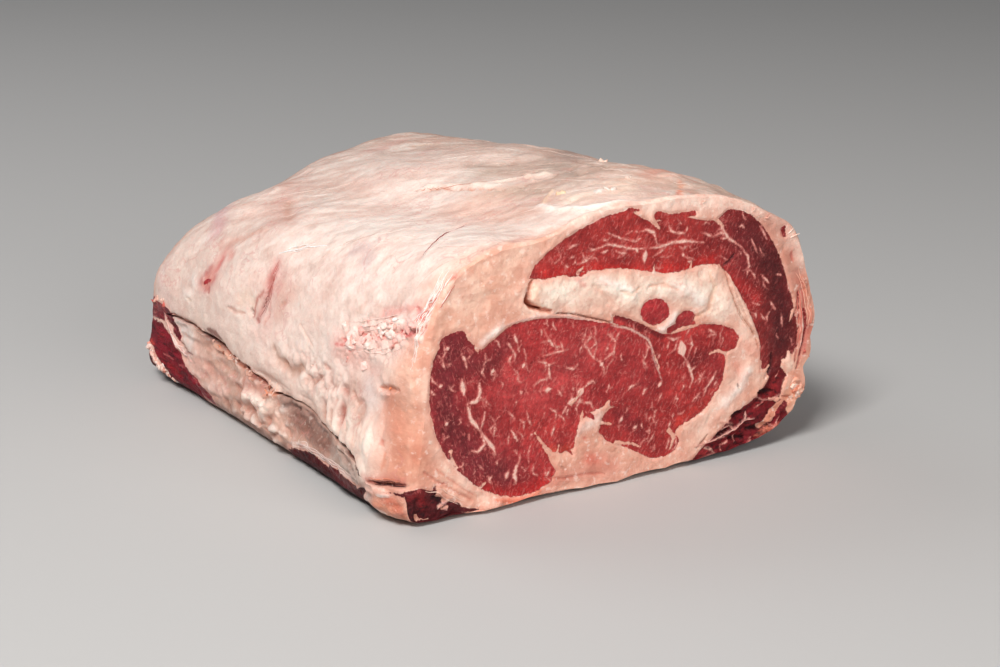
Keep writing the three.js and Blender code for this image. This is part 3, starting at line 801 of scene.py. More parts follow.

# %% [markdown]
# ### Crumbly fat
# Under the near shoulder the fat is broken into crumbs, with red between them. The relief
# comes later from packed lobules, and these strokes colour the crumbs and the gaps, paint the
# shade under the band and paint white glints on the crumbs.

# %% Crumbly fat, red threads and small folds
SIDE_MARKS += [
    ("fat", 5.5, 0.6, (240, 186, 176), 0.55,
     [(-56, 58), (-70, 62), (-84, 67), (-98, 73), (-108, 78)]),
    # painted shade under the crumbly band
    ("fat", 4, -0.6, (216, 168, 156), 0.6, [(-60, 54.6), (-74, 56), (-90, 55.6)]),
    ("fat", 0.9, -0.3, (206, 98, 92), 0.75, [(-55, 58), (-61, 58.6)]),
    ("fat", 0.8, -0.3, (210, 112, 102), 0.7, [(-65, 64), (-69.6, 60.6)]),
    ("fat", 2.0, 0, (224, 146, 138), 0.55, [(-82, 76), (-92, 79), (-104, 84)]),
    ("fat", 1.3, -0.9, (184, 46, 48), 0.9, [(-98.6, 73), (-105, 73.8), (-111, 77)]),
    ("fat", 0.9, -0.6, (200, 72, 68), 0.85, [(-104, 83), (-110, 81.4), (-113, 79.6)]),
    ("fat", 0.8, -0.4, (208, 100, 92), 0.75, [(-70, 66), (-76, 65), (-84, 68), (-90, 69)]),
    ("fat", 0.9, -0.4, (204, 90, 84), 0.75, [(-60, 61.6), (-66, 57.4)]),
    # white strokes: painted glints on the crumbs
    ("fat", 1.3, 0.9, WHITE, 0.95, [(-78, 62.6), (-81, 62.2)]),
    ("fat", 1.4, 0.9, WHITE, 0.9, [(-82, 70.4), (-88, 72.4)]),
    ("fat", 1.4, 0.9, WHITE, 0.9, [(-92, 76.4), (-98, 76.6)]),
    ("fat", 1.0, 0.7, WHITE, 0.8, [(-92, 71), (-95.4, 70)]),
    ("fat", 0.9, 0.6, WHITE, 0.8, [(-64, 58), (-68, 59.6)]),
    ("fat", 0.8, 0.6, WHITE, 0.7, [(-62, 64), (-67, 66)]),
    ("fat", 0.8, 0.6, WHITE, 0.7, [(-70, 68.4), (-76, 69.6)]),
    ("fat", 3.0, 1.2, (248, 214, 206), 0.6, [(-103, 79), (-108, 79.4)]),
    ("fat", 0.6, 0.8, WHITE, 0.95, [(-112.6, 69), (-113.4, 77), (-112, 86), (-110.6, 93)]),
    ("fat", 0.5, 0.6, WHITE, 0.85, [(-110, 83), (-109, 90), (-108, 95)]),
    ("fat", 0.5, 0.5, WHITE, 0.8, [(-115, 72), (-115, 84), (-113, 95)]),
    ("fat", 0.5, -0.6, (214, 108, 94), 0.75, [(-111.4, 80), (-111, 88), (-109.6, 95)]),
    ("fat", 0.5, -0.5, (220, 120, 104), 0.65, [(-114.2, 74), (-114.2, 86), (-112.4, 95)]),
    # small folds towards the far end
    ("fat", 0.7, -0.6, (196, 150, 120), 0.8, [(79, 45), (74.6, 44.6)]),
    ("fat", 3, 0.6, WHITE, 0.6, [(78.6, 54.6), (76.4, 53)]),
    ("fat", 2.6, 0.5, WHITE, 0.5, [(82, 47.4), (78, 46.8)]),
    ("fat", 0.8, -0.4, (208, 160, 136), 0.6, [(72, 75), (66, 76), (60, 77)]),
    ("fat", 5, 0, (224, 194, 186), 0.5, [(110, 52), (104, 44), (98, 41)]),
]
print(len(SIDE_MARKS), "marks so far")

# %% [markdown]
# ### The loose flap
# Below the tear a flap of fat and skin hangs free. It is drier, greyer and more wrinkled, so
# its strokes are duller; low down they are darker still with painted shade, and deep dark short
# ones along the tear paint the shadow inside it.

# %% The loose flap under the tear
SIDE_MARKS += [
    ("fat", 5.5, 0, (226, 212, 204), 0.85, [(89, 31), (82, 30), (75, 27)]),
    ("fat", 1.1, -0.3, (214, 160, 140), 0.65, [(81, 28.8), (78.6, 28.4)]),
    ("fat", 0.7, -0.9, (112, 62, 60), 0.85, [(88, 25.4), (82, 22.6), (76, 21), (70, 21.4)]),
    ("fat", 5, 0.4, (208, 160, 142), 0.6, [(68, 30), (56, 27), (44, 25)]),
    ("fat", 5, 0, (204, 158, 144), 0.55, [(68, 19), (56, 15), (46, 11)]),
    ("fat", 1.8, -0.8, (194, 138, 122), 0.7, [(60, 20.6), (50, 17), (44, 18)]),
    ("fat", 2.4, -1.0, (186, 130, 112), 0.7, [(34, 21), (28, 18), (22, 17)]),
    ("fat", 2.2, -1.2, (150, 100, 82), 0.75, [(38, 9), (33, 8)]),
    ("fat", 1.6, -1.0, (166, 112, 96), 0.7, [(28, 12), (22, 9)]),
    ("fat", 2.4, 0.9, (234, 200, 188), 0.6, [(50, 13), (42, 12), (38, 14)]),
    ("fat", 1.5, 1.0, (232, 176, 150), 0.7, [(52, 30.4), (46, 29.6), (38, 28)]),
    ("fat", 1.5, 0.8, (236, 178, 152), 0.8, [(20, 26), (12, 25.4)]),
    ("fat", 1.2, 1.2, (236, 164, 134), 0.85, [(2, 21.4), (-4, 23.2), (-9, 25)]),
    ("fat", 3, -0.5, (194, 130, 114), 0.7, [(20, 22), (10, 21.4), (2, 24)]),
    # dark strokes in the mouth of the tear: painted shadow inside it
    ("fat", 1.9, -1.5, (104, 32, 20), 0.9, [(60, 33.4), (50, 32.8), (43, 31.8)]),
    ("fat", 1.4, -0.2, (112, 40, 28), 0.8, [(57, 36.8), (50, 36.6), (44, 35.4)]),
    ("fat", 1.3, -1.0, (140, 60, 40), 0.8, [(42, 31.4), (37, 29.6)]),
    ("fat", 1.4, -0.8, (176, 94, 66), 0.75, [(40, 30.2), (32, 28.4), (24, 27.4)]),
    ("fat", 1.4, -1.2, (124, 48, 30), 0.85, [(25, 28.6), (18, 27.6), (12, 26.6), (4, 25.6)]),
    ("fat", 1.0, -0.8, (150, 76, 54), 0.8, [(94, 34.6), (84, 34.8), (74, 35), (64, 34)]),
    ("fat", 0.8, -0.4, (180, 106, 80), 0.7, [(36, 27.6), (32, 25.8)]),
    ("fat", 4.2, -0.6, (160, 126, 114), 0.85, [(-14, 23.4), (-26, 23.4), (-40, 22), (-56, 20)]),
    ("fat", 1.1, -1.1, (118, 90, 82), 0.75, [(-15, 21), (-23, 23.6), (-30, 24)]),
    ("fat", 1.0, -0.9, (128, 100, 92), 0.65, [(-34, 24), (-44, 22.6), (-56, 21)]),
    ("fat", 2.6, 0.5, (196, 146, 130), 0.6, [(-24, 17.6), (-40, 16.6), (-58, 14.6)]),
    ("fat", 4.0, 0, (164, 144, 134), 0.8, [(-62, 16.6), (-78, 14.8), (-92, 11.4)]),
    ("fat", 0.7, -0.7, (128, 104, 96), 0.65, [(-66, 19), (-78, 17), (-88, 13.6)]),
    ("fat", 2.4, 1.5, (244, 226, 212), 0.85, [(17, 17.4), (6, 18.4), (-5, 18)]),
    ("fat", 2.2, -1.7, (172, 126, 106), 0.8, [(13, 13.2), (8, 12.6)]),
    ("fat", 1.8, -1.5, (178, 128, 110), 0.75, [(-3.6, 13.4), (-8, 12.6)]),
    ("fat", 1.5, 1.1, (236, 204, 188), 0.7, [(2.4, 15), (0.6, 10.4)]),
    ("fat", 1.8, 0.9, (228, 192, 174), 0.6, [(-13, 16), (-20, 13)]),
    ("fat", 1.4, 0.8, (230, 198, 184), 0.6, [(20, 10), (12, 8), (2, 7.4)]),
    # a dark strip along the foot: painted shade where the side curves under
    ("fat", 3.4, 0, (124, 88, 78), 0.65, [(64, 3), (20, 3.4), (-18, 3)]),
    # the flap darkened below the tear: partly its own grey-brown, partly painted shade
    ("fat", 4.5, 0, (112, 74, 62), 0.8, [(-26, 20), (-40, 18.6), (-56, 16.6)]),
    ("fat", 6, 0, (206, 146, 128), 0.5, [(-2, 57), (0, 64), (-8, 66)]),
    ("fat", 7, 0, (204, 134, 112), 0.45, [(-101, 48), (-107, 40)]),
    ("fat", 6, 0, (196, 150, 132), 0.6, [(-74, 44), (-84, 38)]),
    ("fat", 5, 0, (206, 178, 166), 0.5, [(82, 52), (76, 58), (82, 66)]),
    # a dark line along the near part of the tear: painted shadow inside it
    ("fat", 0.8, -0.8, (60, 36, 32), 0.9, [(-62, 23.6), (-74, 22.2), (-84, 20.4), (-93, 17)]),
    ("both", 0.6, 0.4, (214, 190, 182), 0.8,
     [(-26, 9.4), (-38, 11.6), (-58, 11.6), (-76, 10.8), (-86, 10.6)]),
]
print(len(SIDE_MARKS), "marks so far")

# %% [markdown]
# ### The lower corners
# A lobe of fat folds round the near corner, and red rib meat shows at both. Thin pale strokes
# are the threads that cross the meat and painted wet highlights on it, and darker wide ones are
# its wet hollows.

# %% Both lower corners
SIDE_MARKS += [
    ("both", 0.9, -1.2, (70, 20, 18), 0.9,
     [(-98, 15.4), (-101, 16), (-104, 16), (-107.4, 16.8), (-110, 17)]),
    ("both", 1.2, -1.0, (76, 22, 20), 0.9, [(-108, 17.2), (-112, 17.4), (-115, 17.8)]),
    ("fat", 2.2, 0, (196, 104, 88), 0.6, [(-98, 16.6), (-106, 17.6), (-114, 19)]),
    ("fat", 5, 1.2, (228, 152, 124), 0.85, [(-103, 8), (-110, 7)]),
    ("fat", 2.6, -0.4, (190, 98, 74), 0.75, [(-108, 11), (-112, 9), (-114, 6)]),
    ("fat", 1.0, 0.6, (246, 206, 188), 0.7, [(-102, 13.4), (-108, 14)]),
    # a white glint painted on the lobe
    ("fat", 0.7, 0.5, WHITE, 0.7, [(-104, 12), (-109, 13)]),
    ("fat", 0.7, 0.5, WHITE, 0.6, [(-100, 5), (-106, 4)]),
    ("fat", 2, 0, (186, 170, 164), 0.6, [(-93, 7), (-98, 10)]),
    # threads, and painted wet highlights on the far red meat
    ("both", 0.8, 0.5, (232, 176, 168), 0.95,
     [(101, 33.2), (98, 29.6), (95, 26.6), (91, 23.6), (86, 21.6), (80, 20.4), (71, 18.4)]),
    ("lean", 0.5, 0.4, (196, 104, 102), 0.75, [(97, 15.6), (88, 15.2)]),
    ("lean", 0.5, 0.4, (190, 96, 96), 0.7, [(84, 13.8), (76, 14.4)]),
    ("lean", 0.5, 0.4, (206, 110, 110), 0.7, [(112, 29), (108, 29.8)]),
    ("lean", 2, 0.3, (150, 26, 32), 0.7, [(97, 11), (84, 10)]),
    ("lean", 1.4, 0.3, (140, 28, 36), 0.7, [(104, 22), (98, 24)]),
    ("lean", 2.4, 0, (80, 16, 30), 0.8, [(98, 36), (92, 30), (88, 27)]),
    ("both", 1.2, 0.8, (244, 196, 180), 0.9, [(116, 15), (109, 14.4), (103, 11), (98, 7)]),
    ("both", 1.2, 0.4, (190, 60, 50), 0.7, [(114, 17.6), (107, 18)]),
    ("both", 0.9, 0.6, (206, 90, 76), 0.7, [(117, 34.6), (112, 36.4), (108, 38)]),
]
print(len(SIDE_MARKS), "marks on it")

# %% [markdown]
# ### The rim of the cut
# Some forms run over the edge of the cut, where no flat chart fits both sides. Their paths are
# given in space (x, y, z) instead: notches, swellings and the drawn threads of the rim.

# %% Swellings over the rim
# what it stains, half width, rise, colour, strength, path
RIM_MARKS = [
    ("fat", 3.7, -6.4, (214, 142, 124), 0.5, [(100.4, -120, 31.4), (99.6, -108, 31.4)]),
    ("fat", 3.4, -5.2, (206, 128, 108), 0.5, [(95.4, -120, 15.8), (96, -110, 15.8)]),
    ("fat", 3.4, -2.4, (206, 120, 106), 0.4, [(101, -120, 45), (101, -110, 45)]),
    ("fat", 7, 1.0, (242, 202, 180), 0.4, [(-97, -112, 62), (-95, -116, 54)]),
    ("fat", 6, -0.9, (230, 168, 142), 0.5, [(-95, -110, 44), (-92, -116, 38)]),
    ("fat", 8, 0.9, (244, 212, 194), 0.5, [(-80, -108, 97), (-74, -116, 92)]),
    ("fat", 6, -0.8, (236, 188, 164), 0.3, [(-70, -106, 104), (-64, -116, 98)]),
    ("fat", 9, 1.0, (244, 208, 188), 0.4, [(-56, -108, 110), (-50, -116, 104)]),
    ("fat", 0.8, 0.6, WHITE, 0.8, [(-88, -111, 84), (-83, -114, 92), (-77, -114, 98)]),
    ("fat", 0.7, 0.5, WHITE, 0.75, [(-86, -114, 80), (-82, -116, 88), (-77, -116, 94)]),
    ("fat", 1.0, 0.4, WHITE, 0.6, [(-84, -110, 90), (-79, -112, 96)]),
    ("fat", 0.6, -0.5, (210, 108, 92), 0.75, [(-87, -113, 82), (-82, -115, 90), (-76, -115, 96)]),
    ("fat", 1.8, -0.2, (212, 112, 96), 0.7, [(-78, -113, 98), (-75, -115, 97)]),
    ("fat", 0.5, -0.5, (150, 60, 44), 0.7, [(-76, -114.6, 97), (-75, -115.4, 96)]),
]
print(len(RIM_MARKS), "marks on it")

# %% [markdown]
# ### The top
# The fat cap is covered by a thin dry skin with long wrinkles and a crack that curves over it.
# Wide grey strokes darken it, partly its own grey and partly painted shade along broad folds;
# cream ones whiten it, and narrow ones draw the wrinkles and the crack.

# %% The top
# what it stains, half width, rise, colour, strength, path
TOP_MARKS = [
    ("fat", 1.6, -0.6, (226, 170, 158), 0.6,
     [(-72, -86), (-64, -81), (-54, -72.5), (-45, -67), (-38, -64)]),
    ("fat", 1.4, 0.3, (228, 150, 138), 0.5, [(-52, -74), (-44, -69.6), (-38, -67)]),
    ("fat", 1.0, 0, (226, 156, 140), 0.6, [(-28, -62), (-25, -63)]),
    ("fat", 0.7, -0.7, (206, 126, 92), 0.8,
     [(-25, 0), (-22, -6), (-19, -14), (-17.6, -22), (-15.6, -34), (-12.6, -46), (-11, -56)]),
    ("fat", 1.8, 0.9, (246, 226, 212), 0.7, [(-20, -4), (-16, -16), (-13, -30), (-9, -42)]),
    ("fat", 9, 0, (226, 184, 164), 0.6, [(-20, -46), (-14, -56)]),
    ("fat", 12, 0, (212, 160, 140), 0.55, [(-34, -46), (-28, -64), (-22, -80)]),
    ("fat", 1.8, -0.9, (150, 120, 104), 0.75, [(6, -38), (17, -42), (18, -54), (16, -66)]),
    ("fat", 2.6, -0.5, (172, 146, 132), 0.65, [(2, -2), (9, -15), (18, -20), (30, -24)]),
    ("fat", 1.2, -0.6, (160, 118, 98), 0.7, [(36, -32), (28, -52), (27, -74)]),
    ("fat", 5, -0.4, (204, 174, 154), 0.65, [(-13, -50), (-7, -63), (-4, -72)]),
    ("fat", 2.4, 0.9, (252, 236, 220), 0.85, [(-12, -30), (-5, -38), (3, -44), (9, -50)]),
    ("fat", 4, 0, (222, 154, 136), 0.6, [(34, -86), (44, -80), (54, -80)]),
    ("fat", 11, 0, (192, 166, 150), 0.75, [(0, -20), (14, -30), (26, -44)]),
    ("fat", 9, 0, (184, 156, 140), 0.7, [(-6, -62), (10, -70), (24, -66)]),
    ("fat", 5, -0.2, (186, 164, 150), 0.7, [(24, -30), (20, -52), (14, -60)]),
    ("fat", 1.2, -0.5, (176, 148, 132), 0.6, [(-8, -56), (8, -58), (24, -52)]),
    ("fat", 1.8, 0.9, (255, 244, 234), 0.85,
     [(-17, -84), (-18, -96), (-14, -107), (-5, -113), (8, -115)]),
    ("fat", 1.2, 0.8, (238, 206, 178), 0.8, [(-16, -86), (-10, -79), (-4, -74)]),
    ("fat", 1.0, 0.8, (246, 222, 204), 0.7, [(0, -54), (3, -46), (6, -38)]),
    ("fat", 1.0, 0.7, (244, 220, 202), 0.6, [(8, -55), (10, -47), (12, -40)]),
    ("fat", 8, 0.5, (244, 214, 194), 0.7, [(-6, -94), (10, -98), (22, -92)]),
    ("fat", 5, 0, (236, 190, 170), 0.6, [(34, -92), (44, -88)]),
    ("fat", 1.6, 0.8, (255, 246, 240), 0.9, [(2.6, -98), (4.6, -95)]),
    ("fat", 1.4, -0.3, (228, 126, 84), 0.8, [(30, -114), (35, -108)]),
    ("fat", 1.0, -0.3, (228, 150, 116), 0.7, [(38, -104), (46, -94)]),
    ("fat", 1.2, -0.3, (230, 140, 100), 0.7, [(78, -52), (86, -40)]),
    ("fat", 1.0, 0.6, (248, 226, 210), 0.7, [(60, -38), (70, -24), (80, -10)]),
    # wide grey strokes over the far top: painted shade along broad folds
    ("fat", 7, -0.3, (164, 140, 130), 0.7, [(34, -30), (46, -14), (58, 0), (62, 30)]),
    ("fat", 5, 0, (158, 136, 126), 0.65, [(62, 30), (74, 60), (84, 90)]),
    ("fat", 6, 0, (196, 170, 158), 0.6, [(24, -16), (30, 10), (40, 40), (56, 80)]),
    ("fat", 8, 0, (214, 168, 154), 0.6, [(-68, 34), (-60, 54), (-46, 76), (-36, 96)]),
    ("fat", 4, 0, (206, 160, 162), 0.65, [(-78, 82), (-72, 94), (-66, 104)]),
    ("fat", 1.6, -0.3, (200, 150, 130), 0.6, [(-66, 36), (-60, 50), (-54, 60)]),
    ("fat", 2.0, -0.2, (216, 166, 150), 0.6, [(-82, 72), (-80, 60), (-74, 40)]),
    ("fat", 1.2, 0.4, (246, 224, 212), 0.6, [(-56, 84), (-48, 82), (-44, 90)]),
    ("fat", 5, 0, (222, 172, 160), 0.55, [(4, 88), (14, 86), (22, 92)]),
    ("fat", 1.4, -0.5, (204, 160, 130), 0.6, [(16, 70), (22, 66), (24, 60)]),
    ("fat", 9, 0, (226, 200, 188), 0.5, [(-10, 60), (6, 40), (10, 20)]),
    ("fat", 3, 0, (200, 172, 170), 0.6, [(-76, -38), (-74, -46), (-78, -54)]),
    ("fat", 1.6, -0.2, (206, 140, 122), 0.5, [(-48, -111), (-42, -110)]),
    ("fat", 14, 0, (250, 234, 224), 0.6, [(-60, -10), (-50, -56), (-60, -96)]),
    ("fat", 1.0, -0.4, (232, 172, 150), 0.6, [(-50, -113), (-36, -112), (-28, -110)]),
]
print(len(TOP_MARKS), "marks on it")

# %% All the marks, in the order in which they are laid
Mark = namedtuple("Mark", "chart stains half_width rise colour strength path")
MARKS = [Mark(chart, *row)
         for chart, rows in (("front", FRONT_MARKS), ("side", SIDE_MARKS),
                             ("space", RIM_MARKS), ("top", TOP_MARKS))
         for row in rows]
print(len(MARKS), "marks")

# %% [markdown]
# ## Marbling
# Marbling is fat inside a muscle, in branching veins and small flecks. The large veins are what
# the eye goes to, so each has a path of its own. The many small ones could be a noise pattern,
# but noise has no direction, so they are scattered as short strokes along the grain.

# %% The large veins, as half widths and paths on the front face
MARBLING = [
    (1.1, [(-72.8, 56), (-72.2, 52.4), (-71.8, 49.2)]),
    (0.9, [(-69.6, 45.8), (-67, 46), (-65, 46.6)]),
    (0.75, [(-66.5, 46), (-64.6, 49.6), (-65, 53.2)]),
    (0.85, [(-70.5, 46), (-69.4, 41.4), (-68.5, 39), (-66, 35.8), (-64, 33)]),
    (0.9, [(-64, 33), (-60.5, 28), (-58.6, 25.6), (-57.5, 22.8)]),
    (0.5, [(-64.5, 33.8), (-63, 38), (-62.5, 41)]),
    (0.7, [(-63.8, 33), (-62.5, 28), (-65.5, 25.5), (-68.5, 26.5)]),
    (0.65, [(-50.5, 31.5), (-49, 29), (-47.5, 26.5)]),
    (1.3, [(-59.4, 57.2), (-58.4, 56.6)]),
    (1.2, [(-45.4, 57), (-44.4, 56.6)]),
    (1.0, [(-82.4, 55.6), (-82, 54.2)]),
    (1.0, [(-79.9, 40), (-79.2, 38.8)]),
    (0.9, [(-79.4, 69.8), (-78.8, 68.6)]),
    (0.9, [(-35.4, 45.2), (-34.2, 44.8), (-31.6, 45.2)]),
    (0.45, [(-37, 64.5), (-33, 65), (-31, 62.5), (-27.5, 61.5)]),
    (0.4, [(-36, 59), (-30, 59.5), (-24, 60)]),
    (0.45, [(-30, 55.3), (-33, 55), (-32.5, 52), (-34, 49)]),
    (0.75, [(-49, 70), (-48.4, 68), (-47.5, 66)]),
    (0.45, [(-50, 64), (-48.6, 62), (-48.9, 59)]),
    (0.5, [(-13.5, 66), (-13, 63), (-16.5, 60.8), (-13.5, 57), (-11.5, 54), (-9, 52.5)]),
    (0.5, [(-9, 52.5), (-7.5, 51), (-6.8, 49), (-7, 46.5)]),
    (1.0, [(-8.4, 51.8), (-7.6, 50.8)]),
    (0.45, [(-4.5, 65), (-5.2, 63.1), (-2.6, 61), (-1.4, 59.2), (-2.2, 55.4), (-5.6, 53.4),
            (-9.1, 52.3)]),
    (1.1, [(-24, 37.5), (-22.6, 38.2), (-21, 39.2)]),
    (1.4, [(-19.5, 40), (-18, 41.4), (-16.5, 43)]),
    (0.7, [(-16, 43), (-14, 44.4), (-12, 45), (-11, 44)]),
    (0.5, [(-26.4, 33.4), (-25, 36), (-24, 37.5)]),
    (0.5, [(-17.5, 37), (-13, 36), (-11.5, 33)]),
    (0.55, [(-30, 29.5), (-31, 27.4), (-31.5, 25.5)]),
    (0.85, [(-47.5, 17.5), (-48.8, 13), (-48, 9)]),
    (0.75, [(-51.5, 15), (-52.4, 13), (-53, 11.5)]),
    (0.5, [(-28.6, 43.8), (-27, 41.6)]),
    (0.45, [(-39.6, 47.6), (-36.6, 49.6), (-33.8, 49.4)]),
    (0.45, [(-25, 52.4), (-21, 51.4), (-19, 53)]),
    (0.45, [(-31, 64), (-29, 60.4)]),
    (0.5, [(4, 37.4), (6.4, 39.4), (9.6, 39.8)]),
    (0.45, [(14.6, 52.4), (12.4, 49), (14.6, 46)]),
    (2.0, [(31.3, 54), (31.7, 51), (32.3, 48)]),
    (0.7, [(32.3, 48), (34.4, 45.2), (36.3, 41), (37.8, 37.3), (36.2, 34)]),
    (0.5, [(36.3, 41), (39.6, 42.6)]),
    (0.6, [(43.2, 31.5), (45.6, 33), (47.8, 35.4), (49.6, 38.4)]),
    (0.5, [(43.6, 29), (45, 32)]),
    (0.45, [(12.5, 34.6), (13.2, 36.6), (14.8, 37.3)]),
    (0.8, [(20, 37), (21.6, 39)]),
    (0.8, [(2.6, 27.6), (1.4, 25.4)]),
    (0.8, [(8, 21.4), (10, 22.4)]),
    (0.55, [(19, 26.6), (18.6, 24)]),
    (0.5, [(27, 22), (26, 18.6)]),
    (0.5, [(37.4, 27.6), (39.6, 29.6)]),
    (0.5, [(24.4, 57), (27.6, 55.4), (31, 56)]),
    (0.5, [(45.4, 57), (48.6, 55)]),
    (0.55, [(-14, 98), (-6, 99.6), (0, 98), (6, 96.2), (12.5, 95.4)]),
    (0.7, [(12.5, 95.4), (19, 95.2), (26.3, 96.2), (34, 95.4), (41.7, 93.8)]),
    (1.1, [(12.6, 95), (12.1, 92), (12.1, 89.6)]),
    (0.7, [(9, 94.4), (7.6, 96)]),
    (0.6, [(17.8, 95.6), (17.8, 96.9), (17, 99), (16.3, 101.5), (12.5, 103), (10, 102.4)]),
    (0.45, [(-6.8, 104.6), (-3.7, 103.1), (0, 101.4), (4, 100)]),
    (0.45, [(4, 100), (8, 99), (10, 100)]),
    (0.5, [(23.2, 104.6), (24.8, 100.8), (28, 99.6), (31.7, 99.2), (31.7, 97.3)]),
    (0.45, [(33, 101.6), (32.2, 99.4)]),
    (0.65, [(48.6, 102), (50.2, 99.2), (54, 93.8), (60.2, 90)]),
    (0.5, [(60.2, 90), (64, 85.4), (65, 81), (64, 76.2)]),
    (0.45, [(54, 93.8), (50, 94.4)]),
    (0.45, [(-20.6, 93.5), (-16, 94.4), (-12.2, 96.5)]),
    (0.45, [(66, 92), (69, 86)]),
    (0.45, [(70, 97), (74, 91)]),
    (0.5, [(72, 76), (76, 72)]),
    (0.5, [(77, 64), (80, 60)]),
    (0.45, [(83, 58), (84, 52)]),
    (0.6, [(86, 70), (88, 66)]),
    (0.4, [(40, 98.4), (46, 95.6)]),
    (0.8, [(30.4, 90.6), (31.6, 90)]),
    (0.6, [(-26, 94), (-24.6, 93)]),
]
print(len(MARBLING), "veins of marbling")

# %% [markdown]
# ## Ragged borders
# The outlines of the muscles are smooth, but real meat has small bays of fat in it and spurs of
# lean that reach out. Cutting those from the solids would need very fine cutters. Here strokes
# add to the depth of the lean or take from it, and the paint follows that depth.

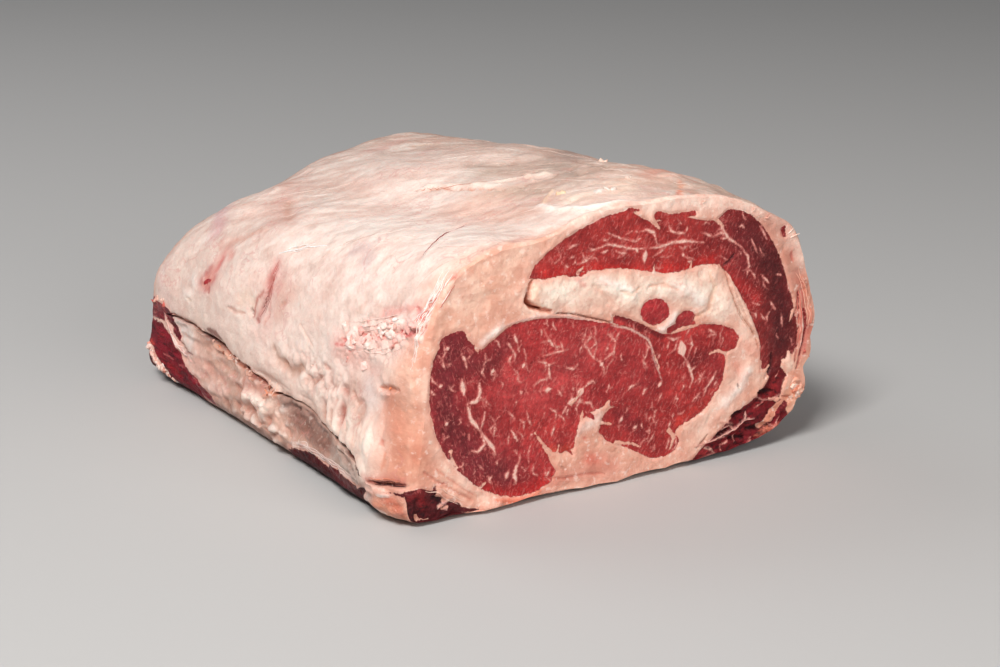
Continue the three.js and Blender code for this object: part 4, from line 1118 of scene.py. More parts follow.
# %% Bays and spurs that the plain outlines leave out
# where, what is added, half width at the start and at the end, path
EDITS = [
    ("front", "meat", (3.4, 3.0), [(80, 46), (80, 40), (80.4, 33)]),
    ("front", "meat", (1.6, 0.6), [(74, 44), (73.4, 40), (75, 37)]),
    ("front", "fat", (2.4, 0.5), [(10, 112.5), (14.5, 107.6), (18.8, 102.8)]),
    ("front", "fat", (2.0, 0.4), [(39, 109.5), (44, 105), (48, 102.2), (50.8, 99.4)]),
    ("front", "meat", (1.2, 0.6), [(-2, 110), (4, 112), (8.4, 111.4)]),
    ("front", "meat", (1.8, 1.0), [(18, 108), (24, 106.4), (36, 106.8)]),
    ("front", "fat", (1.2, 0.3), [(-32, 18), (-34.4, 21.4), (-36.6, 24.4), (-39.4, 28.4)]),
    ("front", "fat", (0.9, 0.2), [(-29.4, 17), (-28, 21)]),
    ("front", "meat", (1.0, 0.3), [(-24, 18.6), (-21.6, 16.2)]),
    ("front", "fat", (1.0, 0.3), [(-17.6, 29), (-17, 33.4)]),
    ("front", "fat", (1.7, 0.6), [(-13, 28), (-8, 30.6), (-4, 35)]),
    ("front", "meat", (1.7, 1.6), [(-2.2, 34), (4, 34.6), (8, 35.2), (14, 37.8), (20, 40.2)]),
    ("front", "fat", (0.9, 0.3), [(-22.6, 37.6), (-20.4, 38.6), (-18, 42.2)]),
    ("front", "meat", (1.0, 0.5), [(-14, 31.4), (-11.4, 29.2)]),
    ("front", "meat", (3.6, 3.4), [(-79, 71), (-74, 72)]),
    ("front", "fat", (1.1, 0.4), [(-66, 68), (-65.6, 65.4)]),
    ("front", "fat", (0.9, 0.2), [(-78, 28), (-77.4, 24.4), (-75, 21)]),
    ("front", "fat", (0.8, 0.2), [(-66, 10), (-62, 12.4)]),
    ("front", "fat", (1.1, 0.4), [(26, 17.4), (28.6, 14), (27, 9)]),
    ("front", "fat", (0.8, 0.3), [(-9, 27), (-3, 25.4)]),
    ("front", "fat", (0.9, 0.2), [(-1, 17), (6, 15.6), (12, 13)]),
    ("front", "fat", (0.7, 0.3), [(54, 45.4), (50, 47.4), (46, 46.6)]),
    ("front", "meat", (0.8, 0.4), [(57, 55), (60.4, 52)]),
    ("front", "meat", (1.6, 1.0), [(25, 60), (32, 61.6), (37.6, 61)]),
    ("front", "meat", (1.4, 0.4), [(4, 66.6), (0, 69), (-2.6, 70.6)]),
    ("front", "meat", (1.3, 0.4), [(-24, 90.6), (-19, 89.4), (-16.4, 89.8)]),
    ("front", "fat", (1.0, 0.3), [(-20, 90.2), (-17.6, 92.2)]),
    ("front", "fat", (0.8, 0.2), [(16.4, 84), (17, 88)]),
    ("front", "fat", (0.6, 0.2), [(35, 84), (35.4, 87)]),
    ("front", "meat", (1.0, 0.4), [(52, 86), (54.4, 80), (57, 76)]),
    ("front", "fat", (0.9, 0.2), [(89, 58), (87.6, 54)]),
    ("front", "fat", (2.6, 2.2, 0.8), [(89.4, 31), (87.4, 36.4), (87.6, 40.6)]),
    ("front", "fat", (3.2, 2.8, 1.2), [(89.6, 20), (85, 17), (80, 13), (75, 9.8)]),
    ("front", "meat", (1.3, 0.9), [(82.6, 39.4), (83, 34.6)]),
    ("front", "fat", (2.0, 1.7), [(-99.8, 10.4), (-98.4, 3)]),
    ("front", "fat", (1.0, 0.6), [(74, 33), (77.6, 36.4)]),
    ("front", "fat", (1.0, 0.6), [(83, 20.4), (79, 21.4)]),
    ("front", "meat", (2.6, 1.2), [(84, 12), (86.6, 18)]),
    ("front", "meat", (0.7, 0.4), [(95.4, 58), (96.6, 50), (95.2, 43), (93.4, 38)]),
    ("front", "meat", (0.6, 0.3), [(91.6, 66), (92, 58), (93, 50)]),
    ("front", "meat", (1.2, 0.8), [(82.2, 94.4), (83, 91.6)]),
    ("front", "fat", (6.0, 4.6), [(-106, 2), (-104.4, 10)]),
    ("front", "meat", (2.6, 2.2), [(-97, 12.6), (-92, 13.6), (-88, 12)]),
    ("front", "meat", (3.2, 2.6), [(-92, 8), (-84, 6.4), (-76, 4.4)]),
    ("front", "meat", (1.5, 0.7), [(-87, 9), (-85.6, 12), (-85.2, 14.8)]),
    ("front", "meat", (2.4, 1.2, 0.5), [(-79, 5.4), (-72, 3), (-66, 1.6)]),
    ("front", "fat", (1.1, 0.9), [(-80.4, 8.8), (-79, 8.2)]),
    ("front", "fat", (0.8, 0.7), [(-82.6, 6.6), (-81.6, 6.4)]),
    ("front", "fat", (0.7, 0.6), [(-80.8, 5.2), (-79.6, 5.4)]),
    ("side", "meat", (1.8, 0.9), [(-117, 13), (-112.6, 12)]),
    ("side", "meat", (1.4, 0.6), [(-117, 7), (-112.6, 5.6)]),
    ("side", "fat", (7.5, 6.5), [(-100, 5), (-107, 7), (-114, 6)]),
    ("side", "meat", (3.0, 2.8), [(-62, 7.2), (-76, 6.6), (-90, 4)]),
    ("side", "meat", (4.5, 3.5), [(116, 33), (108, 33.4), (100, 33.4)]),
    ("side", "meat", (2.6, 1.6), [(97, 34), (90, 28), (86, 25.4)]),
    ("side", "fat", (0.8, 1.2),
     [(100.5, 33), (98, 29.5), (95, 26.6), (91, 23.6), (86, 21.4), (80, 20.2), (70, 17.6)]),
    ("side", "meat", (3.0, 2.0), [(84, 13), (72, 11.4), (62, 8.6), (52, 5)]),
    ("side", "fat", (2.2, 3.0), [(117, 15), (109, 13.6), (103, 9.6), (98, 6)]),
    ("side", "meat", (1.1, 0.4), [(112, 38), (116, 37.4)]),
    ("side", "meat", (1.1, 0.5), [(67.6, 54.8), (64.6, 56.2), (61.6, 56.8)]),
    ("side", "meat", (0.6, 0.3), [(66.6, 56.8), (64, 54)]),
]
print(len(EDITS), "bays and spurs")

# %% How deep a point lies in a stroke
CHARTS = {"front": (0, 2), "side": (1, 2), "top": (0, 1), "space": (0, 1, 2)}
OUT_OF_REACH, STROKE_BORDER = -9.0, 3
ON_CHART = 0.3


def shares_along(path):
    """How far along a path each of its places is, from 0 to 1."""
    steps = np.linalg.norm(np.diff(path, axis=0), axis=1)
    return np.concatenate([[0], np.cumsum(steps)]) / steps.sum()


def beside(flat, start, end):
    """For each flat point, how far along a line its nearest place is, and its distance."""
    step = end - start
    part = np.clip(((flat - start) @ step) / (step @ step), 0, 1)
    return part, np.linalg.norm(flat - start - part[:, None] * step, axis=1)


def stroke_depth(flat, path, widths):
    """How deep each flat point lies in a stroke whose half width changes along its path."""
    path = np.array(path, float)
    shares = shares_along(path)
    deep = np.full(len(flat), OUT_OF_REACH)
    reach = max(widths) + STROKE_BORDER
    near = np.all((flat > path.min(0) - reach) & (flat < path.max(0) + reach), axis=1)
    for index, (start, end) in enumerate(zip(path[:-1], path[1:])):
        part, away = beside(flat[near], start, end)
        place = shares[index] + part * (shares[index + 1] - shares[index])
        width = np.interp(place, np.linspace(0, 1, len(widths)), widths)
        deep[near] = np.maximum(deep[near], width - away)
    return deep


def lean_depth(points, weights, depths):
    """How deep in any lean each point lies, with the bays and spurs added."""
    lean = np.max([depths[name] for name in ALL_MEATS], axis=0)
    for chart, kind, widths, path in EDITS:
        deep = stroke_depth(points[:, CHARTS[chart]], path, widths)
        deep[weights[chart] < ON_CHART] = OUT_OF_REACH
        lean = np.maximum(lean, deep) if kind == "meat" else np.minimum(lean, -deep)
    return lean


bay = stroke_depth(np.array([[80.0, 40.0]]), EDITS[0][3], EDITS[0][2])
print("the first spur is", bay.round(1), "mm deep in its middle")

# %% How near each mark is
EDGE_RAG, NARROW, FINEST_RAG = 0.35, 1.6, 0.8
# the size and strength of the ragged edge and its sharpness, for broad and for narrow strokes
RAG_SIZE, RAG_GAIN, SHARPNESS = (1.8, 1.3), (1, 1.5), (2, 4)
NEAR_REACH = 2.6
WARP, WARP_SIZE, WARP_SEEDS = {"front": 0.4, "side": 0.9, "top": 1.2, "space": 1.2}, 8.0, (41, 42, 43)


def along_path(flat, path):
    """Distance to the path, and how far along it (0 to 1) the nearest place is."""
    shares = shares_along(path)
    best, share = np.full(len(flat), FAR), np.zeros(len(flat))
    for index, (start, end) in enumerate(zip(path[:-1], path[1:])):
        part, away = beside(flat, start, end)
        nearer = away < best
        best[nearer] = away[nearer]
        share[nearer] = (shares[index] + part * (shares[index + 1] - shares[index]))[nearer]
    return best, share


def nearness(places, points, weight, path, width):
    """1 on a path and 0 a few half widths away; narrow strokes are crisp, ragged and taper."""
    path = np.array(path, float)
    reach = NEAR_REACH * width
    near = np.all((places > path.min(0) - reach) & (places < path.max(0) + reach), axis=1)
    near &= weight > 0.01
    value = np.zeros(len(places))
    if near.any():
        away, share = along_path(places[near], path)
        narrow = int(width < NARROW)
        rag = noise_at(points[near], max(width, FINEST_RAG) * RAG_SIZE[narrow], seed=3)
        away *= 1 + EDGE_RAG * rag * RAG_GAIN[narrow]
        taper_off = 0.4 + 0.6 * np.sqrt(np.sin(np.clip(share, 0.02, 0.98) * math.pi))
        wide = width * (taper_off if narrow else 1)
        value[near] = np.exp(-(away / wide) ** SHARPNESS[narrow]) * weight[near]
    return value


def marks_at(points, weights):
    """Every mark's nearness at the points, with all paths bent a little by one noise."""
    bend = np.stack([noise_at(points, WARP_SIZE, seed) for seed in WARP_SEEDS], axis=1)
    places = {chart: (points + WARP[chart] * bend)[:, axes] for chart, axes in CHARTS.items()}
    everywhere = {**weights, "space": np.ones(len(points))}
    return [nearness(places[mark.chart], points, everywhere[mark.chart], mark.path,
                     mark.half_width) for mark in MARKS]


print("marks bend by up to", max(WARP.values()), "mm")

# %% Short veins, scattered through the lean along its grain
FRONT_VEINS, BACK_VEINS = 230, 150
# the direction of the grain in degrees at places across the face, and round the cap muscle
GRAIN_AT = ((-90, 112), (-60, 104), (-30, 96), (0, 78), (30, 62), (60, 50))
CAP_GRAIN_AT = ((-40, 22), (0, 5), (45, -12), (70, -55), (90, -80))
FACE_CORNERS = (-88, 3), (92, 112)
LEAST_DEPTH = 1.2
PLAIN_CAP_X, PLAIN_CAP_SHARE = 62, 0.75
FORK_SHARE, FORK_WIDTH = 0.22, 0.26


def scatter_veins(seed, count):
    """Short curved paths in the lean; in the cap muscle they run along its band."""
    chance = np.random.default_rng(seed)
    veins = []
    while len(veins) < count:
        place = chance.uniform(*FACE_CORNERS)
        probe = np.array([[place[0], FRONT, place[1]]])
        found = {name: float(depth[0]) for name, depth in meat_depths(probe).items()}
        name = max(found, key=found.get)
        if found[name] < LEAST_DEPTH or name.startswith(("round", "rib")):
            continue
        in_cap = name == "cap_muscle"
        if in_cap and place[0] > PLAIN_CAP_X and chance.random() < PLAIN_CAP_SHARE:
            continue
        angle = np.interp(place[0], *zip(*(CAP_GRAIN_AT if in_cap else GRAIN_AT)))
        angle = math.radians(angle + chance.normal(0, 22))
        long = chance.uniform(0.8, 2.6) * (1.6 if chance.random() < 0.25 else 1.0)
        bend = chance.normal(0, 0.35)
        ahead = np.array((math.cos(angle), math.sin(angle))) * long
        aside = np.array((-ahead[1], ahead[0])) * bend
        path = [tuple(place - ahead), tuple(place + aside), tuple(place + ahead)]
        veins.append((float(chance.uniform(0.12, 0.5)), path))
        if chance.random() < FORK_SHARE:
            turn = ahead * 0.2 + np.array((-ahead[1], ahead[0])) * chance.choice((-0.9, 0.9))
            veins.append((FORK_WIDTH, [tuple(place + aside), tuple(place + aside + turn)]))
    return veins


short_veins = scatter_veins(31, FRONT_VEINS)
back_veins = scatter_veins(32, BACK_VEINS)
print(len(short_veins), "short veins in front,", len(back_veins), "behind")

# %% How deep a point lies in the marbling
VEIN_PROFILE = (0.3, 1, 1.1, 0.3)


def marbling_at(points, weights):
    """How deep in a vein each point is, in millimetres, negative outside."""
    deep = np.full(len(points), OUT_OF_REACH)
    for end, veins in (("front", MARBLING + short_veins), ("back", back_veins)):
        on_end = weights[end] > ON_CHART
        flat = points[on_end][:, CHARTS["front"]]
        for width, path in veins:
            found = stroke_depth(flat, path, [width * part for part in VEIN_PROFILE])
            deep[on_end] = np.maximum(deep[on_end], found)
    return deep


in_vein = marbling_at(np.array([[-8.0, FRONT, 51.3]]), {"front": np.ones(1), "back": np.zeros(1)})
print("a branching point of the large veins is", in_vein.round(2), "mm deep")

# %% [markdown]
# ## The outer skin
# Fat is never smooth. The skin grid is raised and lowered along its own normals: broad soft
# waves everywhere, packed lobules where the fat is crumbly, long fibres on the loose flap under
# the tear on the chine side, and every mark from the table.

# %% The line of the tear, and soft patches
# places along the chine side, the far end first, and the height of the tear there
CREVICE = ((97, 84, 70, 58, 42, 33, 24, 12, 0, -6, -20, -35, -48, -60, -72, -82, -90, -96),
           (34, 35.6, 35, 34, 32.8, 31, 29.6, 28.2, 25.6, 25.4, 27.4, 27.2, 25.6, 24, 22, 20.8,
            18.6, 16))
FLAP_BORDER, FLAP_END = (1, -2), (104, 92)


def along_tear(table, y):
    """A measure of the tear at y, from a table of places and values."""
    return np.interp(-y, -np.array(table[0], float), table[1])


def crevice_height(y):
    return along_tear(CREVICE, y)


def patch(points, chart, place, size):
    """A soft round patch on one chart: 1 in its middle, 0 outside."""
    flat = (points[:, CHARTS[chart]] - np.array(place)) / np.array(size)
    return np.exp(-(flat ** 2).sum(axis=1))


def flap_share(points, side):
    """1 on the loose flap below the tear, 0 above it."""
    edge = crevice_height(points[:, 1])
    below = ease(edge + FLAP_BORDER[0], edge + FLAP_BORDER[1], points[:, 2])
    return side * below * ease(*FLAP_END, points[:, 1])


print("the tear sinks from", max(CREVICE[1]), "to", min(CREVICE[1]), "mm")

# %% Kinds of lumps
# each kind is a few layers of: pattern, size in millimetres, seed, height, level of no rise
PATTERNS = {"waves": noise_at, "lobules": lobules_at}
CRUMBLY = (("lobules", 4.6, 1, 1.6, 0.55), ("lobules", 2.6, 9, 1.0, 0.55))
MOTTLED = (("lobules", (6, 4.4, 6), 2, 1.8, 0.5),)
TORN_FIBRES = (("waves", (4, 12, 3), 4, 1.0, 0), ("waves", 2.6, 5, 0.7, 0))
KNOBS = (("lobules", (7, 7, 6), 3, 2.4, 0.5),)
FOLDS = (("lobules", (8, 5.5, 14), 6, 1.9, 0.5),)
SIDE_GRAIN = (("waves", (4, 4.5, 4), 6, 0.3, 0),)
TOP_GRAIN = (("waves", (9, 5, 6), 9, 0.3, 0),)
RUMPLED = (("lobules", (15, 9, 9), 17, 0.6, 0.5), ("waves", (11, 5, 7), 18, 0.5, 0))
CAP_EDGE = (("waves", (6, 9, 7), 10, 0.8, 0), ("waves", 3, 12, 0.6, 0))
RIM_RAGS = (("waves", 3.2, 16, 0.7, 0),)
BROAD_WAVES = (("waves", (13, 20, 12), 1, 0.6, 0), ("waves", (5, 7, 4), 2, 0.3, 0))
SHOULDER_WAVES = (("waves", (17, 13, 17), 14, 1.5, 0),)


def height_of(layers, points):
    """The height of one kind of lumps at the points, in millimetres."""
    return sum(height * (PATTERNS[pattern](points, size, seed) - level)
               for pattern, size, seed, height, level in layers)


print("crumbs on the crown would rise by", height_of(CRUMBLY, crown_place).round(2), "mm")

# %% Where each kind of lumps is
# the crumbly band: where it starts, a place on it (y, z), its slope and its half width
CRUMBLY_END, CRUMBLY_PLACE, CRUMBLY_SLOPE, CRUMBLY_WIDTH = (-50, -62), (-90, 70), 0.37, 9
# patches as middle and size on the chine side
MOTTLED_PATCH = ((-40, 41), (34, 8))
KNOB_PATCH = ((-4, 14), (28, 10))
FOLD_PATCH = ((-82, 30), (24, 13))
RUMPLED_Y, RUMPLED_X = (-34, -66), (-34, -8)
RIM_RUN, SHOULDER_RUN = (12, 1), 14


def lumps_at(points, weights):
    """The small lumps of the skin: crumbly fat, torn fibres and knobs, in millimetres."""
    side, top, edge = weights["side"], weights["top"], weights["edge"]
    flap = flap_share(points, side)
    band = CRUMBLY_PLACE[1] - CRUMBLY_SLOPE * (points[:, 1] - CRUMBLY_PLACE[0])
    in_band = np.exp(-((points[:, 2] - band) / CRUMBLY_WIDTH) ** 2)
    places = (
        (CRUMBLY, side * ease(*CRUMBLY_END, points[:, 1]) * in_band),
        (MOTTLED, side * patch(points, "side", *MOTTLED_PATCH)),
        (TORN_FIBRES, flap),
        (KNOBS, flap * patch(points, "side", *KNOB_PATCH)),
        (FOLDS, side * patch(points, "side", *FOLD_PATCH) * (1 - flap)),
        (SIDE_GRAIN, side * (1 - flap)),
        (TOP_GRAIN, top),
        (RUMPLED, top * ease(*RUMPLED_Y, points[:, 1]) * ease(*RUMPLED_X, points[:, 0])),
        (CAP_EDGE, edge),
        (RIM_RAGS, ease(*RIM_RUN, points[:, 1] - FRONT) * (side + 0.6 * top + edge)),
    )
    return sum(share * height_of(layers, points) for layers, share in places)


def skin_rise(points, weights):
    """How far the skin stands out at each point: waves, lumps and every mark."""
    near_cut = np.exp(-(points[:, 1] - FRONT) / SHOULDER_RUN) * (weights["side"] + weights["top"])
    rise = height_of(BROAD_WAVES, points) + lumps_at(points, weights)
    rise += near_cut * height_of(SHOULDER_WAVES, points)
    for mark, near in zip(MARKS, marks_at(points, weights)):
        rise += mark.rise * near
    return rise


print("lumps are laid over", len(skin.reshape(-1, 3)), "points of skin")

# %% Raise and lower the skin
LEAST_NORMAL = 0.6
FOOT = (0.2, 6)
UNDER_LIFT, UNDER_RUN, UNDER_HEIGHT = 2.6, 2.2, 3
KEPT_GAP = 0.1


def grid_normals(grid):
    around = np.roll(grid, -1, axis=0) - np.roll(grid, 1, axis=0)
    along = np.gradient(grid, axis=1)
    out = np.cross(around, along)
    out /= np.maximum(np.linalg.norm(out, axis=2, keepdims=True), 1e-9)
    return out


def dress_skin(grid):
    """The skin with its relief, flat on the floor and lifted a little under each cut."""
    normals = grid_normals(grid)
    centre = np.array((0, 0, AXIS_HEIGHT))
    away = (grid - centre) * np.array((1, 0, 1))
    if (normals * away).sum() < 0:
        normals = -normals
    ends = normals[:, [0, -1]] * (1, 0, 1)
    lengths = np.linalg.norm(ends, axis=2, keepdims=True)
    normals[:, [0, -1]] = ends / np.maximum(lengths, LEAST_NORMAL)
    flat = grid.reshape(-1, 3)
    rise = skin_rise(flat, regions(flat)).reshape(grid.shape[:2])
    rise *= ease(*FOOT, grid[:, :, 2])
    dressed = grid + normals * rise[:, :, None]
    dressed[:, 0, 1], dressed[:, -1, 1] = grid[:, 0, 1], grid[:, -1, 1]
    dressed[:, 1:-1, 1] = np.clip(dressed[:, 1:-1, 1], FRONT + KEPT_GAP, BACK - KEPT_GAP)
    dressed[:, :, 2] = np.maximum(dressed[:, :, 2], 0)
    near_end = np.minimum(dressed[:, :, 1] - FRONT, BACK - dressed[:, :, 1])
    uneven = 0.65 + 0.6 * noise_at(dressed.reshape(-1, 3), 10, 8).reshape(grid.shape[:2])
    lift = UNDER_LIFT * np.exp(-near_end / UNDER_RUN) * uneven
    dressed[:, :, 2] += np.maximum(lift * ease(UNDER_HEIGHT, 0, grid[:, :, 2]), 0)
    return dressed


dressed = dress_skin(skin)
print("relief moves the skin by up to",
      round(float(np.linalg.norm(dressed - skin, axis=2).max()), 1), "mm")

# %% [markdown]
# ## The cut faces
# A knife leaves the face nearly flat, but fat springs a little proud of lean, the torn pocket
# beside the seam fat is deep, and the coarse lower muscle pulls back. A fine even net of
# triangles fills each end, joined to the skin's first and last ring, and carries that relief.

# %% Relief of the cut faces
KNIFE_WAVES = (("waves", 11, 11, 0.45, 0), ("waves", 2.2, 12, 0.14, 0))
FAT_LUMPS = (("waves", (6, 5, 5), 15, 0.45, 0), ("waves", 2.0, 17, 0.14, 0))
COARSE_BUNDLES = (("waves", 3.4, 13, 0.9, 0), ("waves", 1.5, 14, 0.4, 0))
SEAM_FOLDS, SEAM_PATCH = (("waves", (5, 6, 12), 18, 0.9, 0),), ((14, 78), (40, 9))
FAT_PROUD, VEIN_PROUD, COARSE_SUNK = 0.5, 0.2, 1.0
# how far a round muscle stands out, and how deep in it that height is reached
ROUND_PROUD = {"round_muscle_a": (1.0, 4.5), "round_muscle_b": (0.5, 3)}


def face_rise(points, weights):
    """How far a cut face stands out at each point."""
    depths = meat_depths(points)
    lean = lean_depth(points, weights, depths)
    rise = height_of(KNIFE_WAVES, points)
    rise += ease(0.4, -1.2, lean) * (FAT_PROUD + height_of(FAT_LUMPS, points))
    rise += VEIN_PROUD * ease(-0.3, 0.4, marbling_at(points, weights))
    coarse = ease(-0.5, 3, np.maximum(depths["lower_muscle"], depths["rib_meat_near"]))
    rise += coarse * (height_of(COARSE_BUNDLES, points) - COARSE_SUNK)
    for name, (proud, full) in ROUND_PROUD.items():
        rise += proud * ease(0, full, depths[name])
    seam = patch(points, "front", *SEAM_PATCH) * ease(0, -2, lean)
    rise += seam * height_of(SEAM_FOLDS, points)
    for mark, near in zip(MARKS, marks_at(points, weights)):
        if mark.chart == "front":
            rise += mark.rise * near
    return rise


print("fat stands", FAT_PROUD, "mm proud of the lean")

# %% [markdown]
# ## One closed block
# The skin and the two ends become one closed mesh, so that a Boolean cutter finds an inside and
# an outside. An end could be one flat polygon, but then it could carry no relief, so it is
# filled with a net of small triangles that meets the ring of the skin point for point.

# %% Fill the ends and close the block
FRONT_MESH, BACK_MESH = 0.62, 1.9
ROW_SHARE, NET_RAG, RING_GAP = 0.866, 0.16, 0.55
ON_END = 0.05


def face_net(ring, spacing, seed):
    """Places inside the ring, in uneven rows, and triangles over the ring and the places."""
    chance = np.random.default_rng(seed)
    low, high = ring.min(0), ring.max(0)
    columns = np.arange(low[0], high[0], spacing)
    rows = np.arange(low[1], high[1], spacing * ROW_SHARE)
    x, z = np.meshgrid(columns, rows)
    x = x + (np.arange(len(rows)) % 2)[:, None] * spacing / 2
    places = np.stack([x.ravel(), z.ravel()], axis=1)
    places += chance.uniform(-NET_RAG, NET_RAG, places.shape) * spacing
    edges = ring_edges(ring)
    inner = inside_edges(places, edges)
    places = places[inner]
    places = places[distance_to_edges(places, edges) > spacing * RING_GAP]
    everything = [Vector(place) for place in np.vstack([ring, places])]
    outcome = delaunay_2d_cdt(everything, [], [list(range(len(ring)))], 1, 1e-6)
    origin = [found[0] for found in outcome[3]]
    triangles = [[origin[index] for index in face] for face in outcome[2]]
    return places, triangles


def build_block():
    """One closed mesh of the whole roast, skin and both cut faces."""
    around, along = dressed.shape[:2]
    points = [dressed.reshape(-1, 3)]
    index = np.arange(around * along).reshape(around, along)
    here, after = index[:, :-1], np.roll(index, -1, axis=0)[:, :-1]
    far, far_after = index[:, 1:], np.roll(index, -1, axis=0)[:, 1:]
    polygons = np.stack([here, after, far_after, far], axis=-1).reshape(-1, 4).tolist()
    total = around * along
    for column, spacing, seed in ((0, FRONT_MESH, 5), (-1, BACK_MESH, 6)):
        ring = dressed[:, column][:, [0, 2]]
        places, triangles = face_net(ring, spacing, seed)
        y = dressed[0, column, 1]
        points.append(np.stack([places[:, 0], np.full(len(places), y), places[:, 1]], axis=1))
        numbers = np.concatenate([index[:, column], total + np.arange(len(places))])
        polygons += [[int(numbers[corner]) for corner in triangle] for triangle in triangles]
        total += len(places)
    points = np.vstack(points)
    for end, toward in ((FRONT, -1.0), (BACK, 1.0)):
        on_end = np.abs(points[:, 1] - end) < ON_END
        weights = {key: np.zeros(on_end.sum()) for key in ("side", "top", "edge")}
        weights["front"] = np.full(on_end.sum(), 1.0 if toward < 0 else 0.0)
        weights["back"] = 1 - weights["front"]
        points[on_end, 1] += toward * face_rise(points[on_end], weights)
    return points, polygons


block_points, block_faces = build_block()
block_tree = BVHTree.FromPolygons([Vector(point) for point in block_points], block_faces)
print("block of", len(block_points), "points and", len(block_faces), "faces")

# %% [markdown]
# ## Cutting the block into its pieces
# Each muscle is the block inside its own cutter, a long plug with the muscle's outline that
# follows the taper, and the fat is what is left. Fat and meat come from one block, so their
# surfaces meet exactly.

# %% Turn points and faces into an object
def mesh_object(name, points, polygons):
    mesh = bpy.data.meshes.new(name)
    mesh.from_pydata((np.array(points) * MM).tolist(), [], polygons)
    mesh.update()
    made = bpy.data.objects.new(name, mesh)
    put(made)
    shape = bmesh.new()
    shape.from_mesh(mesh)
    bmesh.ops.recalc_face_normals(shape, faces=shape.faces)
    bmesh.ops.triangulate(shape, faces=[face for face in shape.faces if len(face.verts) > 3])
    shape.to_mesh(mesh)
    shape.free()
    return made


def tube(sections):
    """Points and faces of a closed tube through sections with equal numbers of places."""
    count, size = len(sections), len(sections[0])
    points = np.vstack(sections)
    polygons = []
    for section in range(count - 1):
        for corner in range(size):
            here = section * size + corner
            after = section * size + (corner + 1) % size
            polygons.append([here, after, after + size, here + size])
    polygons.append(list(range(size)))
    polygons.append([(count - 1) * size + corner for corner in reversed(range(size))])
    return points, polygons


def standing(flat, y):
    """Places across the roast (x, z) set up at y along it."""
    return np.stack([flat[:, 0], np.full(len(flat), y), flat[:, 1]], axis=1)


block = mesh_object("block", block_points, block_faces)
print(block.name, "has", len(block.data.polygons), "triangles")

# %% Plugs for the muscles
CUTTER_SECTIONS, OVERRUN = 9, 5.0
STRIP_STEP, STRIP_TURNS, STRIP_RAG, STRIP_RAG_SIZE = 2.0, 18, 0.9, 5
BELOW_FLOOR, OUTSIDE = -12, 8


def plug(name):
    """The cutter of a muscle: its front outline carried along the taper."""
    loop = outlines[name][0]
    sections = []
    for y in np.linspace(FRONT - OVERRUN, BACK + OVERRUN, CUTTER_SECTIONS):
        wide, high = taper(loop[:, 0], np.full(len(loop), y))
        sections.append(standing(np.stack([loop[:, 0] * wide, loop[:, 1] * high], axis=1), y))
    return mesh_object(name + "_plug", *tube(sections))


def strip_plug(name):
    """The cutter of a rib strip: a corner wedge whose size changes along the roast."""
    ends = STRIPS[name][0]
    turns = np.linspace(0, math.pi / 2, STRIP_TURNS)
    outside = STRIP_CORNER[0] - OUTSIDE
    sections = []
    for y in np.arange(ends[0], ends[-1] + 0.1, STRIP_STEP):
        deep, high = strip_size(name, y)
        rag = STRIP_RAG * noise.noise(Vector((y / STRIP_RAG_SIZE, 3.1, 0)))
        x = STRIP_CORNER[0] + (deep + rag) * np.cos(turns)
        z = STRIP_CORNER[1] + (high + rag) * np.sin(turns)
        corner = np.array([[outside, high + STRIP_CORNER[1] + rag], [outside, BELOW_FLOOR],
                           [x[0], BELOW_FLOOR]])
        sections.append(standing(np.vstack([np.stack([x, z], axis=1), corner]), y))
    return mesh_object(name + "_plug", *tube(sections))


plugs = {name: plug(name) for name in MEATS}
plugs.update({name: strip_plug(name) for name in STRIPS})
print(len(plugs), "plugs, the eye's with", len(plugs["eye_muscle"].data.polygons), "faces")

# %% [markdown]
# ### The tear
# When the ribs were pulled away the skin of this side tore open. The slot is cut with a thin
# wedge whose height, width and depth wander along the roast, because a slot of even width looks
# sawn. A painted line would give no shadow of its own.

# %% The wedge that opens the tear
WEDGE_SPAN, WEDGE_STEPS = (100, -95), 90
# places along the chine side, the far end first, and the width of the mouth there
WEDGE_WIDTH = ((100, 96, 84, 74, 64, 58, 50, 42, 38, 20, 6, -2, -24, -50, -66, -76, -86, -94),
               (0.2, 0.9, 1.1, 1.0, 1.9, 3.8, 4.2, 3.4, 1.7, 1.4, 1.1, 1.7, 1.1, 0.9, 1.6, 2.1,
                1.6, 0.6))
WEDGE_DEPTH, WEDGE_MOUTH, WEDGE_START = 8.0, -112.0, -97.0
WANDER, WANDER_SIZE = 0.7, 6
RAGGED, RAGGED_SIZE = 0.5, 2.5


def tear_cutter():
    """The wedge that opens the tear on the chine side."""
    sections = []
    for y in np.linspace(*WEDGE_SPAN, WEDGE_STEPS):
        wide = float(along_tear(WEDGE_WIDTH, y))
        wander = WANDER * noise.noise(Vector((y / WANDER_SIZE, 1.7, 0)))
        ragged = wide * (1 + RAGGED * noise.noise(Vector((y / RAGGED_SIZE, 8.1, 0))))
        deep = WEDGE_DEPTH * min(1.0, 0.35 + wide / 2.4)
        tip, z = WEDGE_START + deep * 0.9, float(crevice_height(y)) + wander
        middle = (WEDGE_MOUTH + tip) / 2
        sections.append(standing(np.array([
            [WEDGE_MOUTH, z - ragged / 2], [middle, z - ragged / 2 - 0.5], [tip, z - 1.6],
            [tip - 0.3, z - 1.2], [middle, z + ragged / 2 - 0.2],
            [WEDGE_MOUTH, z + ragged / 2]]), y))
    return mesh_object("tear", *tube(sections))


tear = tear_cutter()
print(tear.name, "of", WEDGE_STEPS, "sections, up to", max(WEDGE_WIDTH[1]), "mm wide")

